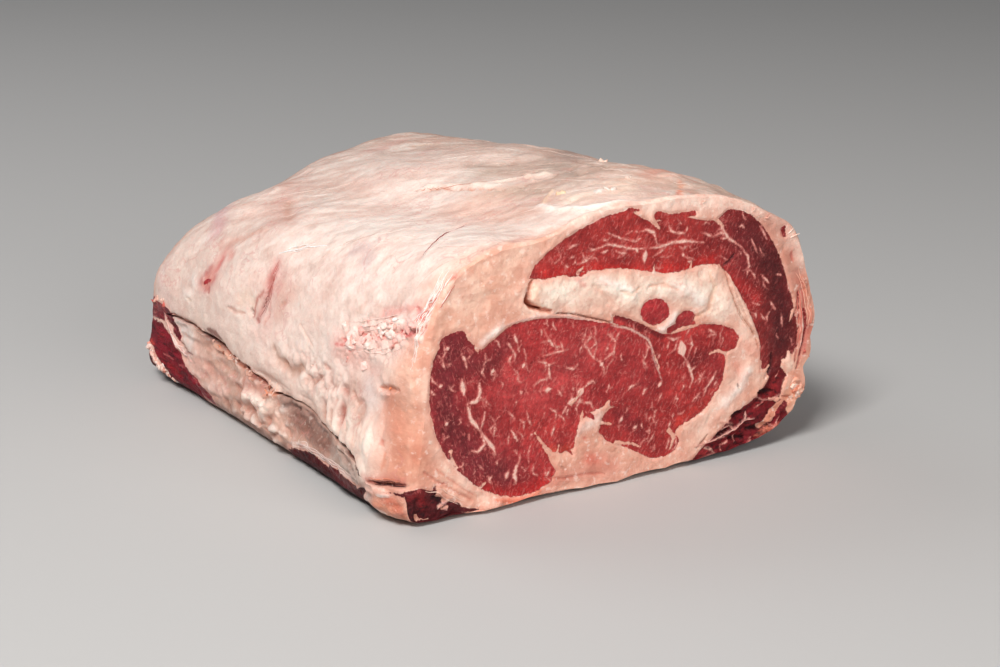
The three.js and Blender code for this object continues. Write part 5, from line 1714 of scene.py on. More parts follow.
# %% Cut the block
def carve(name, steps):
    """A copy of the block, cut by each (cutter, operation) in turn."""
    piece = bpy.data.objects.new(name, block.data.copy())
    put(piece)
    for cutter, operation in steps:
        cut = piece.modifiers.new(cutter.name, "BOOLEAN")
        cut.object, cut.operation, cut.solver = cutter, operation, "MANIFOLD"
    evaluated = piece.evaluated_get(bpy.context.evaluated_depsgraph_get())
    mesh = bpy.data.meshes.new_from_object(evaluated)
    mesh.name = name
    piece.modifiers.clear()
    piece.data = mesh
    return piece


pieces = {}
for name in ALL_MEATS:
    steps = [(plugs[name], "INTERSECT"), (tear, "DIFFERENCE")]
    if name in STRIPS:
        steps.append((plugs["eye_muscle"], "DIFFERENCE"))
    pieces[name] = carve(name + "_surface", steps)
pieces["fat_body"] = carve("fat_body_surface",
                           [(cutter, "DIFFERENCE") for cutter in (*plugs.values(), tear)])
for used in (block, tear, *plugs.values()):
    bpy.data.objects.remove(used)
for name, piece in pieces.items():
    print(piece.name, len(piece.data.vertices), "points,", len(piece.data.polygons), "faces")

# %% [markdown]
# ## Painting the pieces
# Colour is laid down the way it lies in meat: each muscle has its own red, the fat is creamy
# outside and pinker where it is cut, and the marks stain one or both. Painted shade darkens the
# hollows of the lumps and the inside of the tear, and painted highlights lighten the crests. The
# paint is kept in attributes, and the material adds the fine grain.

# %% Base colours of lean and fat
LEAN_COLOURS = {
    "eye_muscle": (170, 48, 49), "inner_muscle": (168, 46, 45), "cap_muscle": (162, 46, 43),
    "lower_muscle": (112, 14, 24), "round_muscle_a": (178, 48, 52),
    "round_muscle_b": (156, 44, 46), "rib_meat_near": (76, 10, 16),
    "rib_meat_far": (116, 15, 30),
}
# a muscle's red counts by how deep the point lies in it, within a range in millimetres
RED_RANGE, RED_SHARPNESS = (-8, 4), 1.6


def blend(base, colour, share):
    """The base with a colour laid over it, as strong as the share of each point."""
    return base + (linear(colour) - base) * share[:, None]


def lean_paint(points, depths):
    """Each muscle's red, shared out by how deep the point lies in it."""
    paint, total = np.zeros((len(points), 3)), np.zeros(len(points))
    for name, colour in LEAN_COLOURS.items():
        share = np.exp(np.clip(depths[name], *RED_RANGE) * RED_SHARPNESS)
        paint += linear(colour) * share[:, None]
        total += share
    return paint / total[:, None]


print(len(LEAN_COLOURS), "reds, the eye's as light", linear(LEAN_COLOURS["eye_muscle"]).round(3))

# %% [markdown]
# ### The paint of the fat
# The skin side of the fat is dry and creamy, the cut side pink, and the far part of the roast
# duller and darker. Washes go on from broad to small: first the cut, then each side, then the
# streaks along the fibres of the skin, which all run one way.

# %% Streaks and washes of the fat
FIBRE_ANGLE = -58
STREAKS, FINE_STREAKS, FINE_SHARE = ((5, 26, 9), 33), ((2.2, 14, 5), 34), 0.7
CUT_WASH, CUT_WANDER = ((-92, -60, -30, -10), (24, 12, 5, 3)), 0.6
BACK_WASH = 5


def streaks_at(points):
    """Long faint streaks along the fibres of the skin, about -1 to 1."""
    turn = math.radians(FIBRE_ANGLE)
    along = points[:, 0] * math.cos(turn) + points[:, 1] * math.sin(turn)
    across = points[:, 1] * math.cos(turn) - points[:, 0] * math.sin(turn)
    laid = np.column_stack([across, along, points[:, 2]])
    return noise_at(laid, *STREAKS) + FINE_SHARE * noise_at(laid, *FINE_STREAKS)


def fat_washes(points, weights):
    """The washes over the fat, from broad to small: colour, share of each point, strength."""
    side, top = weights["side"], weights["top"]
    wander = noise_at(points, (14, 9, 14), 22)
    fade = np.interp(points[:, 0], *CUT_WASH) * (1 + CUT_WANDER * wander)
    cut = np.maximum(ease(1, 0, (points[:, 1] - FRONT) / fade), weights["front"])
    behind = np.maximum(ease(1, 0, (BACK - points[:, 1]) / BACK_WASH), weights["back"])
    streaks = streaks_at(points) * (top + side * ease(62, 80, points[:, 2]))
    rosy = ease(0.1, 0.7, noise_at(points, (24, 34, 20), 21)) * (side + top)
    return (
        (CUT_FAT, np.maximum(cut, behind), 1),
        ((206, 148, 126), weights["edge"], 0.85),
        ((222, 186, 168), side * ease(50, 14, points[:, 2]), 0.7),
        ((184, 142, 124), flap_share(points, side), 0.7),
        ((192, 156, 136), top * ease(-20, 50, points[:, 0]), 0.75),
        ((184, 158, 144), (side + top) * ease(0, 70, points[:, 1]), 0.3),
        ((194, 150, 134), ease(0.04, 0.5, streaks), 0.34),
        ((255, 242, 232), ease(-0.04, -0.5, streaks), 0.32),
        ((230, 192, 178), rosy, 0.55),
    )


def fat_paint(points, weights):
    paint = np.tile(linear(FELL), (len(points), 1))
    for colour, share, strength in fat_washes(points, weights):
        paint = blend(paint, colour, share * strength)
    return paint


print("the fibres of the skin run at", FIBRE_ANGLE, "degrees")

# %% How deep inside the tear a point is
TEAR_X, TEAR_START, TEAR_HEIGHT = -70, 8, 7
TEAR_WALL = (0.15, 1.3)


def tear_share(points):
    """1 deep inside the tear, 0 on the skin."""
    near = ((points[:, 0] < TEAR_X) & (points[:, 1] > FRONT + TEAR_START)
            & (np.abs(points[:, 2] - crevice_height(points[:, 1])) < TEAR_HEIGHT))
    share = np.zeros(len(points))
    deep = [block_tree.find_nearest(Vector(point))[3] for point in points[near]]
    share[near] = ease(*TEAR_WALL, np.array(deep))
    return share


print("inside the tear", tear_share(np.array([[-90.0, 0.0, float(crevice_height(0))]])))

# %% Paint one piece
# painted shade for the hollows of the lumps and the tear, painted highlights for the crests
HOLLOW_SHADE, CREST_HIGHLIGHT, SHADE_IN_TEAR = (208, 138, 118), (255, 244, 234), (92, 26, 16)
LUMP_SHADING, TEAR_SHADING, CUT_LUMPS = 0.6, 0.95, 1.3
COARSE_MEATS = "lower_muscle", "rib_meat_near", "rib_meat_far"
SHARP_ANGLE = 50
KINDS = {1: ("FLOAT", "value"), 3: ("FLOAT_VECTOR", "vector"), 4: ("FLOAT_COLOR", "color")}


def tints_at(points, weights, depths):
    """The colour of the fat and of the lean at each point, with painted shade and light on the lumps
    and in the tear.
    """
    fat_tint, lean_tint = fat_paint(points, weights), lean_paint(points, depths)
    lumps = lumps_at(points, weights)
    lumps += CUT_LUMPS * height_of(FAT_LUMPS, points) * weights["front"]
    # painted shade in the hollows of the lumps, painted highlights on their crests
    fat_tint = blend(fat_tint, HOLLOW_SHADE, ease(-0.1, -1.0, lumps) * LUMP_SHADING)
    fat_tint = blend(fat_tint, CREST_HIGHLIGHT, ease(0.1, 1.0, lumps) * LUMP_SHADING)
    for mark, near in zip(MARKS, marks_at(points, weights)):
        share = np.clip(near * mark.strength, 0, 1)
        if mark.stains in ("fat", "both"):
            fat_tint = blend(fat_tint, mark.colour, share)
        if mark.stains in ("lean", "both"):
            lean_tint = blend(lean_tint, mark.colour, share)
    # painted shade inside the tear
    return blend(fat_tint, SHADE_IN_TEAR, tear_share(points) * TEAR_SHADING), lean_tint


def keep_on_points(mesh, layer, values):
    """Keeps a number, a direction or a colour for each point of a mesh."""
    kind, field = KINDS[values.size // len(values)]
    mesh.attributes.new(layer, kind, "POINT").data.foreach_set(field, values.ravel())


def paint_piece(piece):
    """Keeps the depths and the colours of a piece in its attributes."""
    mesh = piece.data
    points = np.empty(len(mesh.vertices) * 3)
    mesh.vertices.foreach_get("co", points)
    points = points.reshape(-1, 3) / MM
    weights, depths = regions(points), meat_depths(points)
    layers = {"lean": lean_depth(points, weights, depths),
              "vein": marbling_at(points, weights),
              "fell": weights["side"] + weights["top"] + weights["edge"],
              "coarse": np.max([depths[name] for name in COARSE_MEATS], axis=0)}
    for layer, tint in zip(("fat_tint", "lean_tint"), tints_at(points, weights, depths)):
        layers[layer] = np.hstack([np.clip(tint, 0, 1), np.ones((len(tint), 1))])
    for layer, values in layers.items():
        keep_on_points(mesh, layer, values)
    mesh.shade_smooth()
    mesh.set_sharp_from_angle(angle=math.radians(SHARP_ANGLE))


for piece in pieces.values():
    paint_piece(piece)
print("painted", len(pieces), "pieces")

# %% [markdown]
# ## The material
# Fat and lean share one material, so the border between them can wander across the joint of
# two pieces. The attributes say what is where; noise on the object's own coordinates frays the
# borders, scatters flecks of fat through the lean and gives both their grain. A little light
# scatters under the surface, which keeps raw meat from looking like painted plaster.

# %% Node helpers
def add_node(tree, kind, inputs=None, **settings):
    """Adds a node; an input is given a value, or another node's output socket."""
    node = tree.nodes.new(kind)
    for name, value in settings.items():
        setattr(node, name, value)
    for name, value in (inputs or {}).items():
        socket = node.inputs[name]
        if isinstance(value, bpy.types.NodeSocket):
            tree.links.new(value, socket)
        else:
            socket.default_value = value
    return node


def stretched(tree, place, size, turn=0.0):
    """Coordinates for a pattern of the given sizes in millimetres, turned about the length."""
    mapping = add_node(tree, "ShaderNodeMapping", {
        "Vector": place, "Scale": tuple(MM * value for value in size),
        "Rotation": (0, -turn, 0)}, vector_type="TEXTURE")
    return mapping.outputs["Vector"]


def grain(tree, place, size, detail=2.0, rough=0.5, twist=0.0, turn=0.0):
    """A noise pattern with lumps of the given sizes in millimetres."""
    size = (size, size, size) if isinstance(size, (int, float)) else size
    texture = add_node(tree, "ShaderNodeTexNoise", {
        "Vector": stretched(tree, place, size, turn), "Scale": 1.0, "Detail": detail,
        "Roughness": rough, "Distortion": twist})
    return texture.outputs["Fac"]


print("a pattern of 2 mm is scaled by", 2 * MM)

# %% Short names for common nodes
def ramp(tree, value, low, high, bottom=0.0, top=1.0):
    """A value eased from one range to another."""
    node = add_node(tree, "ShaderNodeMapRange", {
        "Value": value, "From Min": low, "From Max": high, "To Min": bottom, "To Max": top},
        interpolation_type="SMOOTHSTEP")
    return node.outputs["Result"]


def maths(tree, operation, first, second=0.5, third=0.5):
    node = add_node(tree, "ShaderNodeMath", {0: first, 1: second, 2: third},
                    operation=operation)
    return node.outputs[0]


def mixed(tree, share, first, second, way="MIX"):
    """Two colours mixed; numbers name the node's sockets, as it has several of one name."""
    node = add_node(tree, "ShaderNodeMix", {0: share, 6: first, 7: second},
                    data_type="RGBA", blend_type=way)
    return node.outputs[2]


def attribute(tree, name, output="Fac"):
    node = add_node(tree, "ShaderNodeAttribute", attribute_name=name)
    return node.outputs[output]


def opaque(colour):
    """A screen colour as a shader takes it."""
    return (*[float(value) for value in linear(colour)], 1.0)


def plus(tree, *values):
    total = values[0]
    for value in values[1:]:
        total = maths(tree, "ADD", total, value)
    return total


def times(tree, *values):
    total = values[0]
    for value in values[1:]:
        total = maths(tree, "MULTIPLY", total, value)
    return total


def swing(tree, value, reach):
    """A pattern from 0 to 1 turned into one from -reach / 2 to reach / 2."""
    return maths(tree, "MULTIPLY_ADD", value, reach, -reach / 2)


print("white fat as the shader takes it", [round(value, 2) for value in opaque(WHITE)])

# %% [markdown]
# ### Lean
# Lean is bundles of fibres: tones change from bundle to bundle, the borders are darker, and fine
# fat runs between them in threads and specks. Each of those is a noise of its own size, laid
# over the painted red, and the marbling comes last, with a frayed edge.

# %% The red of the lean
LIGHTER, DARKER = (1.15, 1.2, 1.18, 1), (0.83, 0.75, 0.77, 1)
# sizes of the tones in millimetres, and where in the noise each turns from dark to light
TONES = (((14, 40, 14), 0.36, 0.64), ((5, 24, 5), 0.32, 0.68), ((1.5, 9, 1.5), 0.3, 0.7))
BUNDLE_SIZE, BUNDLE_EDGE, GAP_SHADE = (4.2, 30, 4.8), (112, 34, 38), (36, 6, 12)


def mottled_lean(tree, place):
    """The painted red, lighter and darker from bundle to bundle."""
    tint = attribute(tree, "lean_tint", "Color")
    for size, low, high in TONES:
        tone = ramp(tree, grain(tree, place, size, 2.0, 0.6), low, high)
        tint = mixed(tree, 1.0, tint, mixed(tree, tone, DARKER, LIGHTER), "MULTIPLY")
    return tint


def bundle_borders(tree, place, coarse, tint):
    """Darker borders between bundles, and painted shade in the gaps where the meat is coarse."""
    bent = maths(tree, "MULTIPLY_ADD", grain(tree, place, 4.0, 2.0), 6 * MM, -3 * MM)
    shifted = add_node(tree, "ShaderNodeVectorMath", {0: place, 1: bent}, operation="ADD")
    bundles = add_node(tree, "ShaderNodeTexVoronoi", {
        "Vector": stretched(tree, shifted.outputs[0], BUNDLE_SIZE),
        "Scale": 1.0}, feature="DISTANCE_TO_EDGE").outputs["Distance"]
    tint = mixed(tree, ramp(tree, bundles, 0.06, 0.0, 0.0, 0.22), tint, opaque(BUNDLE_EDGE))
    gaps = times(tree, ramp(tree, coarse, 0.0, 2.0),
                 ramp(tree, grain(tree, place, (2.6, 9, 1.6), 3.0, 0.6), 0.5, 0.36))
    # painted shade in the gaps between coarse bundles
    return mixed(tree, times(tree, gaps, 0.7), tint, opaque(GAP_SHADE))


print(len(TONES), "sizes of tone, from", TONES[-1][0][0], "to", TONES[0][0][0], "mm across")

# %% Fine fat in the lean, and the marbling
MARBLE_COLOUR, FLECK_COLOUR, THREAD_COLOUR = (244, 200, 184), (216, 130, 120), (212, 114, 107)
# the turn of the threads, and the x in metres between which each turn fades in
THREADS = ((math.radians(106), -0.046, -0.062), (math.radians(62), -0.062, -0.046))


def fine_fat(tree, place, coarse, tint):
    """A broken net, threads and specks of fat, where the meat is fine and light."""
    red = add_node(tree, "ShaderNodeSeparateColor", {
        0: attribute(tree, "lean_tint", "Color")}).outputs["Red"]
    marbled = times(tree, ramp(tree, coarse, 0.5, -1.0), ramp(tree, red, 0.05, 0.26, 0.25, 1.0))
    net = grain(tree, place, (6.5, 30, 6.5), 3.0, 0.6, 0.8)
    crest = maths(tree, "ABSOLUTE", maths(tree, "SUBTRACT", net, 0.5))
    where = ramp(tree, grain(tree, place, (9, 30, 9), 1.0), 0.46, 0.62)
    broken = ramp(tree, grain(tree, place, (1.6, 9, 1.6), 2.0), 0.42, 0.6)
    fine = times(tree, ramp(tree, crest, 0.024, 0.002), where, broken, marbled, 0.55)
    tint = mixed(tree, fine, tint, opaque(FLECK_COLOUR))
    across = add_node(tree, "ShaderNodeSeparateXYZ", {0: place}).outputs["X"]
    for turn, low, high in THREADS:
        threads = grain(tree, place, (3.0, 9, 1.0), 2.0, 0.6, 0.6, turn)
        share = times(tree, ramp(tree, threads, 0.54, 0.68), ramp(tree, across, low, high),
                      marbled, 0.5)
        tint = mixed(tree, share, tint, opaque(THREAD_COLOUR))
    specks = ramp(tree, grain(tree, place, (1.4, 6, 1.4), 2.0, 0.6), 0.66, 0.75)
    return mixed(tree, times(tree, specks, marbled, 0.65), tint, opaque(FLECK_COLOUR))


def lean_colour(tree, place, coarse):
    """The red of the lean: tones, borders of bundles, fine fat, then the marbling."""
    tint = bundle_borders(tree, place, coarse, mottled_lean(tree, place))
    tint = fine_fat(tree, place, coarse, tint)
    fray = plus(tree, swing(tree, grain(tree, place, 1.5, 2.0), 1.3),
                swing(tree, grain(tree, place, 0.5, 1.0), 0.5))
    vein = plus(tree, attribute(tree, "vein"), fray)
    white = mixed(tree, ramp(tree, vein, 0.0, 0.7), opaque(FLECK_COLOUR),
                  opaque(MARBLE_COLOUR))
    return mixed(tree, ramp(tree, vein, -0.5, 0.4, 0.0, 0.92), tint, white)


print(len(THREADS), "directions of threads")

# %% [markdown]
# ### Fat
# Fat is never one cream: there are clouds in it, small curds where it is cut, and faint pink
# vessels under the dry skin. Beside the lean it takes on a little of the red.

# %% The cream of the fat
CUT_SHADES = (0.9, 0.78, 0.75, 1), (0.965, 0.92, 0.91, 1)
LIGHT_CLOUD = (1.05, 1.06, 1.06, 1)
BESIDE_LEAN, CURD_SHADE, CURD_LIGHT = (230, 158, 140), (222, 146, 126), (255, 238, 226)
VESSEL_COLOUR = (206, 136, 130)


def fat_colour(tree, place, fell):
    """The cream of the fat: clouds, small curds and, on the skin, faint pink vessels."""
    cut = maths(tree, "SUBTRACT", 1.0, maths(tree, "MULTIPLY", fell, 0.45))
    cloud = ramp(tree, grain(tree, place, 7.0, 3.0, 0.6), 0.36, 0.64)
    shade = mixed(tree, fell, *CUT_SHADES)
    fat = mixed(tree, cloud, shade, LIGHT_CLOUD)
    fat = mixed(tree, 1.0, attribute(tree, "fat_tint", "Color"), fat, "MULTIPLY")
    beside = times(tree, ramp(tree, attribute(tree, "lean"), -2.4, -0.4), 0.35)
    fat = mixed(tree, beside, fat, opaque(BESIDE_LEAN))
    curds = ramp(tree, grain(tree, place, 1.7, 3.0, 0.65), 0.52, 0.7)
    fat = mixed(tree, times(tree, curds, cut, 0.32), fat, opaque(CURD_SHADE))
    pale = ramp(tree, grain(tree, place, 2.6, 3.0, 0.6), 0.56, 0.7)
    fat = mixed(tree, times(tree, pale, cut, 0.4), fat, opaque(CURD_LIGHT))
    net = grain(tree, place, (16, 12, 10), 3.0, 0.55, 0.6)
    crest = maths(tree, "ABSOLUTE", maths(tree, "SUBTRACT", net, 0.5))
    where = ramp(tree, grain(tree, place, 26.0, 1.0), 0.5, 0.66)
    vessels = times(tree, ramp(tree, crest, 0.03, 0.0), where, fell, 0.4)
    return mixed(tree, vessels, fat, opaque(VESSEL_COLOUR))


print("vessels under the skin as light", linear(VESSEL_COLOUR).round(3))

# %% [markdown]
# ### Gloss and fine relief
# Raw meat is wet in patches and damp in others, so its roughness follows a noise. Lines too fine
# for the mesh, the fibres, the curds and the leathery skin, are left to a bump, which only turns
# the light. The forms that show at the outline are in the mesh itself.

# %% Gloss and fine relief
BUMP_STRENGTH, BUMP_DEPTH = 0.7, 1 * MM


def wet_gloss(tree, place, meat, coarse):
    """How rough the surface is: damp fat, wetter lean, dull where the meat is coarse."""
    wet = grain(tree, place, 3.0, 2.0)
    fat_rough = ramp(tree, wet, 0.35, 0.65, 0.56, 0.34)
    lean_rough = plus(tree, ramp(tree, wet, 0.3, 0.7, 0.46, 0.3),
                      ramp(tree, coarse, -0.5, 1.5, 0.0, 0.3))
    return plus(tree, times(tree, meat, lean_rough),
                times(tree, maths(tree, "SUBTRACT", 1.0, meat), fat_rough))


def fine_relief(tree, place, meat, fell, coarse):
    """Fibres in the lean, curds in the fat, leather on the skin and rags in coarse meat."""
    fibres = times(tree, grain(tree, place, (1.0, 7, 1.0), 3.0, 0.6), meat, 0.6)
    curds = grain(tree, place, 1.7, 3.0, 0.62)
    leather = times(tree, grain(tree, place, (2.6, 1.6, 1.6), 3.0, 0.6), fell, 0.35)
    ragged = times(tree, ramp(tree, coarse, -0.5, 1.5), grain(tree, place, 1.6, 3.0, 0.7))
    height = plus(tree, fibres, times(tree, curds, 0.5), leather, ragged)
    return add_node(tree, "ShaderNodeBump", {
        "Height": height, "Strength": BUMP_STRENGTH, "Distance": BUMP_DEPTH})


print("the bump is up to", BUMP_DEPTH / MM, "mm deep")

# %% Build the material
BELOW_SURFACE = {"Subsurface Weight": 0.2, "Subsurface Radius": (1.0, 0.55, 0.45),
                 "Subsurface Scale": 1.2 * MM}
SURFACE = {"IOR": 1.42, "Specular IOR Level": 0.38}
LEAN_BORDER = -0.18, 0.25


def beef_material():
    """Fat and lean in one material, told apart by the painted depth of the lean."""
    material = bpy.data.materials.new("raw_beef")
    material.use_nodes = True
    tree = material.node_tree
    tree.nodes.clear()
    place = add_node(tree, "ShaderNodeTexCoord").outputs["Object"]
    fell, coarse = attribute(tree, "fell"), attribute(tree, "coarse")
    fray = plus(tree, swing(tree, grain(tree, place, 2.4, 3.0, 0.6), 2.0),
                swing(tree, grain(tree, place, 0.8, 2.0), 0.5))
    meat = ramp(tree, plus(tree, attribute(tree, "lean"), fray), *LEAN_BORDER)
    bump = fine_relief(tree, place, meat, fell, coarse)
    shader = add_node(tree, "ShaderNodeBsdfPrincipled", {
        "Base Color": mixed(tree, meat, fat_colour(tree, place, fell),
                            lean_colour(tree, place, coarse)),
        "Roughness": wet_gloss(tree, place, meat, coarse),
        "Normal": bump.outputs["Normal"], **BELOW_SURFACE, **SURFACE})
    output = add_node(tree, "ShaderNodeOutputMaterial")
    tree.links.new(shader.outputs["BSDF"], output.inputs["Surface"])
    return material


beef = beef_material()
print(beef.name, "has", len(beef.node_tree.nodes), "nodes")

# %% Give every piece its material, its slot and the node it replaces
for name, piece in pieces.items():
    piece.data.materials.clear()
    piece.data.materials.append(beef)
    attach(piece, "root")
    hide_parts(name)

# %% [markdown]
# ## Crumbs, strands and shreds
# A knife and a boning hook leave small torn bits behind: crumbs of fat along the edges of a
# cut, shiny strands of sinew and shreds that stand off the rim. Each kind is one mesh, grown by
# Geometry Nodes from places that are first laid on the surface of the block, so every bit sits
# on what carries it.

# %% Lay places on the surface
SENDERS = {"front": ((0, 2), 1, -300.0, (0, 1, 0)), "side": ((1, 2), 0, -300.0, (1, 0, 0)),
           "top": ((0, 1), 2, 300.0, (0, 0, -1))}


def land(chart, place):
    """Where a place on a chart meets the block, and the outward direction there."""
    if chart == "space":
        spot, out = block_tree.find_nearest(Vector(place))[:2]
    else:
        axes, free, start, ray = SENDERS[chart]
        origin = Vector((0, 0, 0))
        origin[axes[0]], origin[axes[1]], origin[free] = place[0], place[1], start
        spot, out = block_tree.ray_cast(origin, Vector(ray))[:2]
    if spot is None:
        return None, None
    middle = np.array((0.0, spot[1], AXIS_HEIGHT))
    if chart == "front":
        middle = np.array((spot[0], FRONT + 40, spot[2]))
    out = np.array(out)
    return np.array(spot), out * (1 if out @ (np.array(spot) - middle) > 0 else -1)


def spaced(path, step):
    """The path with places added, so that none are further apart than the step."""
    path = np.array(path, float)
    gaps = np.concatenate([[0], np.cumsum(np.linalg.norm(np.diff(path, axis=0), axis=1))])
    wanted = np.linspace(0, gaps[-1], max(int(gaps[-1] / step) + 1, 4))
    return np.stack([np.interp(wanted, gaps, column) for column in path.T], axis=1)


print("block tree ready, top of the rib at", round(float(land("top", (0, 0))[0][2]), 1), "mm")

# %% [markdown]
# ### Growing with Geometry Nodes
# A tree of Geometry Nodes turns a few points into crumbs or strands, and its sizes are numbers
# that are easy to change. The result is kept as a plain mesh, with the same painted attributes
# as the big pieces, so the one material serves it too.

# %% Helpers that grow a mesh with Geometry Nodes
PLAIN_LAYERS = {"lean": -9.0, "vein": -9.0, "fell": 0.6, "coarse": -9.0}


def growing_tree(name, sizes):
    """A Geometry Nodes tree with a geometry socket and a named number for each size."""
    tree = bpy.data.node_groups.new(name, "GeometryNodeTree")
    sockets = tree.interface
    sockets.new_socket("Geometry", in_out="INPUT", socket_type="NodeSocketGeometry")
    sockets.new_socket("Geometry", in_out="OUTPUT", socket_type="NodeSocketGeometry")
    for size in sizes:
        sockets.new_socket(size, in_out="INPUT", socket_type="NodeSocketFloat")
    return tree, add_node(tree, "NodeGroupInput"), add_node(tree, "NodeGroupOutput")


def end_tree(tree, end, geometry):
    """Gives the grown geometry its material and hands it out."""
    dressed_up = add_node(tree, "GeometryNodeSetMaterial", {
        "Geometry": geometry, "Material": beef})
    tree.links.new(dressed_up.outputs["Geometry"], end.inputs["Geometry"])


def named(tree, name, kind="FLOAT"):
    node = add_node(tree, "GeometryNodeInputNamedAttribute", {"Name": name}, data_type=kind)
    return node.outputs["Attribute"]


def seed_mesh(name, points, edges, layers, colours):
    """The points and edges that a tree grows from, with their sizes and colours."""
    mesh = bpy.data.meshes.new(name)
    mesh.from_pydata((np.array(points) * MM).tolist(), edges, [])
    plain = {layer: np.full(len(points), value) for layer, value in PLAIN_LAYERS.items()}
    tint = np.array([opaque(colour) for colour in colours])
    for layer, values in {**layers, **plain, "fat_tint": tint, "lean_tint": tint}.items():
        keep_on_points(mesh, layer, values)
    return mesh


print("crumbs and strands are marked", PLAIN_LAYERS)

# %% Grow a mesh and keep it
def grow(name, tree, sizes, points, edges, layers, colours):
    """Runs the tree on the seed mesh and keeps the result as a plain mesh."""
    made = bpy.data.objects.new(name, seed_mesh(name, points, edges, layers, colours))
    put(made)
    modifier = made.modifiers.new("grow", "NODES")
    modifier.node_group = tree
    for item in tree.interface.items_tree:
        if item.in_out == "INPUT" and item.name in sizes:
            modifier[item.identifier] = float(sizes[item.name])
    evaluated = made.evaluated_get(bpy.context.evaluated_depsgraph_get())
    grown = bpy.data.meshes.new_from_object(evaluated)
    grown.name = name
    made.modifiers.clear()
    made.data = grown
    grown.shade_smooth()
    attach(made, "root")
    print(name, len(points), "places,", len(grown.polygons), "faces")
    return made


# %% [markdown]
# ### Crumbs
# Crumbs of fat gather along torn and cut edges. Each could be a lump of the skin, but a crumb
# is rounder than a skin can fold, with an undercut that casts a shadow. So each is a small ball,
# pressed flat, sunk a little into what carries it and made uneven by a noise.

# %% Where the crumbs are
# where, path, spread, count, smallest and largest radius, colours
CRUMBS = [
    ("front", [(94, 26), (92.6, 21)], 1.4, 16, (1.0, 2.4),
     ((234, 172, 148), (220, 132, 106), (246, 206, 188))),
    ("top", [(-5, -80), (-4, -81)], 0.3, 2, (1.3, 2.0), ((240, 208, 174),)),
    ("top", [(8, -96), (10, -97)], 0.3, 2, (1.3, 1.9), ((240, 222, 212),)),
    ("top", [(25, -87), (25.6, -86)], 0.3, 2, (0.9, 1.5), ((240, 218, 204),)),
    ("top", [(38, -50), (39, -49)], 0.4, 3, (1.6, 2.6), ((234, 204, 188),)),
    ("side", [(56, 31.4), (46, 30), (40, 29.6), (30, 28.2), (20, 26.8), (8, 25.6), (-8, 23.4)],
     0.7, 30, (0.5, 1.4), ((204, 156, 138), (226, 194, 180), (158, 98, 78))),
    ("side", [(116, 15), (109, 13.6), (103, 10.4), (98, 7), (90, 4)], 0.9, 34, (0.8, 2.2),
     ((240, 196, 180), (226, 152, 134), (246, 218, 206))),
    ("side", [(116, 35), (111, 37), (106, 38.4), (100, 37.6)], 0.7, 12, (0.6, 1.5),
     ((204, 100, 88), (236, 184, 166))),
    ("side", [(-57, 60), (-72, 64.5), (-88, 70), (-105, 77)], 3.4, 32, (1.0, 2.5),
     ((250, 226, 216), (244, 208, 198), (238, 184, 174))),
]
SUNK, TILT = 0.08, 0.25


def crumb_places(seed):
    chance = np.random.default_rng(seed)
    points, outs, radii, colours = [], [], [], []
    for chart, path, spread, count, (small, large), choices in CRUMBS:
        along = spaced(path, 0.5)
        for _ in range(count):
            place = along[chance.integers(len(along))] + chance.normal(0, spread, 2)
            radius = small + (large - small) * chance.random() ** 2
            spot, out = land(chart, place)
            if spot is None or spot[2] < radius:
                continue
            points.append(spot - out * radius * SUNK)
            outs.append(out + chance.normal(0, TILT, 3))
            radii.append(radius)
            colours.append(choices[chance.integers(len(choices))])
    return np.array(points), {"radius": np.array(radii), "out": np.array(outs)}, colours


places, layers, colours = crumb_places(71)
print(len(places), "crumbs, the largest", round(2 * layers["radius"].max(), 1), "mm across")

# %% Grow the crumbs
CRUMB_SIZES = {"Lump depth": 0.5, "Lump size": 1.6 * MM, "Flatness": 0.42}


def crumb_tree():
    """Small uneven balls on the places, each as large as its own radius."""
    tree, start, end = growing_tree("crumbs", CRUMB_SIZES)
    ball = add_node(tree, "GeometryNodeMeshIcoSphere", {"Radius": MM, "Subdivisions": 3})
    turn = add_node(tree, "FunctionNodeAlignRotationToVector", {
        "Vector": named(tree, "out", "FLOAT_VECTOR")}, axis="Z")
    squash = add_node(tree, "ShaderNodeCombineXYZ", {
        0: 1.0, 1: 1.0, 2: start.outputs["Flatness"]})
    radius = named(tree, "radius")
    scale = add_node(tree, "ShaderNodeVectorMath", {
        0: squash.outputs[0], "Scale": radius}, operation="SCALE")
    balls = add_node(tree, "GeometryNodeInstanceOnPoints", {
        "Points": start.outputs["Geometry"], "Instance": ball.outputs["Mesh"],
        "Rotation": turn.outputs[0], "Scale": scale.outputs[0]})
    real = add_node(tree, "GeometryNodeRealizeInstances", {
        "Geometry": balls.outputs["Instances"]})
    place = add_node(tree, "GeometryNodeInputPosition").outputs[0]
    fine = add_node(tree, "ShaderNodeVectorMath", {
        0: place, 1: start.outputs["Lump size"]}, operation="DIVIDE")
    lumps = add_node(tree, "ShaderNodeTexNoise", {
        "Vector": fine.outputs[0], "Scale": 1.0, "Detail": 2.0}).outputs["Fac"]
    rise = times(tree, maths(tree, "SUBTRACT", lumps, 0.5), start.outputs["Lump depth"],
                 radius, 4 * MM)
    normal = add_node(tree, "GeometryNodeInputNormal").outputs[0]
    shift = add_node(tree, "ShaderNodeVectorMath", {0: normal, "Scale": rise},
                     operation="SCALE")
    moved = add_node(tree, "GeometryNodeSetPosition", {
        "Geometry": real.outputs["Geometry"], "Offset": shift.outputs[0]})
    end_tree(tree, end, moved.outputs["Geometry"])
    return tree


grow("fat_crumbs", crumb_tree(), CRUMB_SIZES, places, [], layers, colours)

# %% [markdown]
# ### Strands
# Sinew and torn membrane lie over the meat in bunches of thin shiny threads. A thread is a line
# laid on the surface, with a round section that swells towards its middle and ends sunk in the
# fat. Curves drawn by hand would do, but a path and a count make a whole bunch at once.

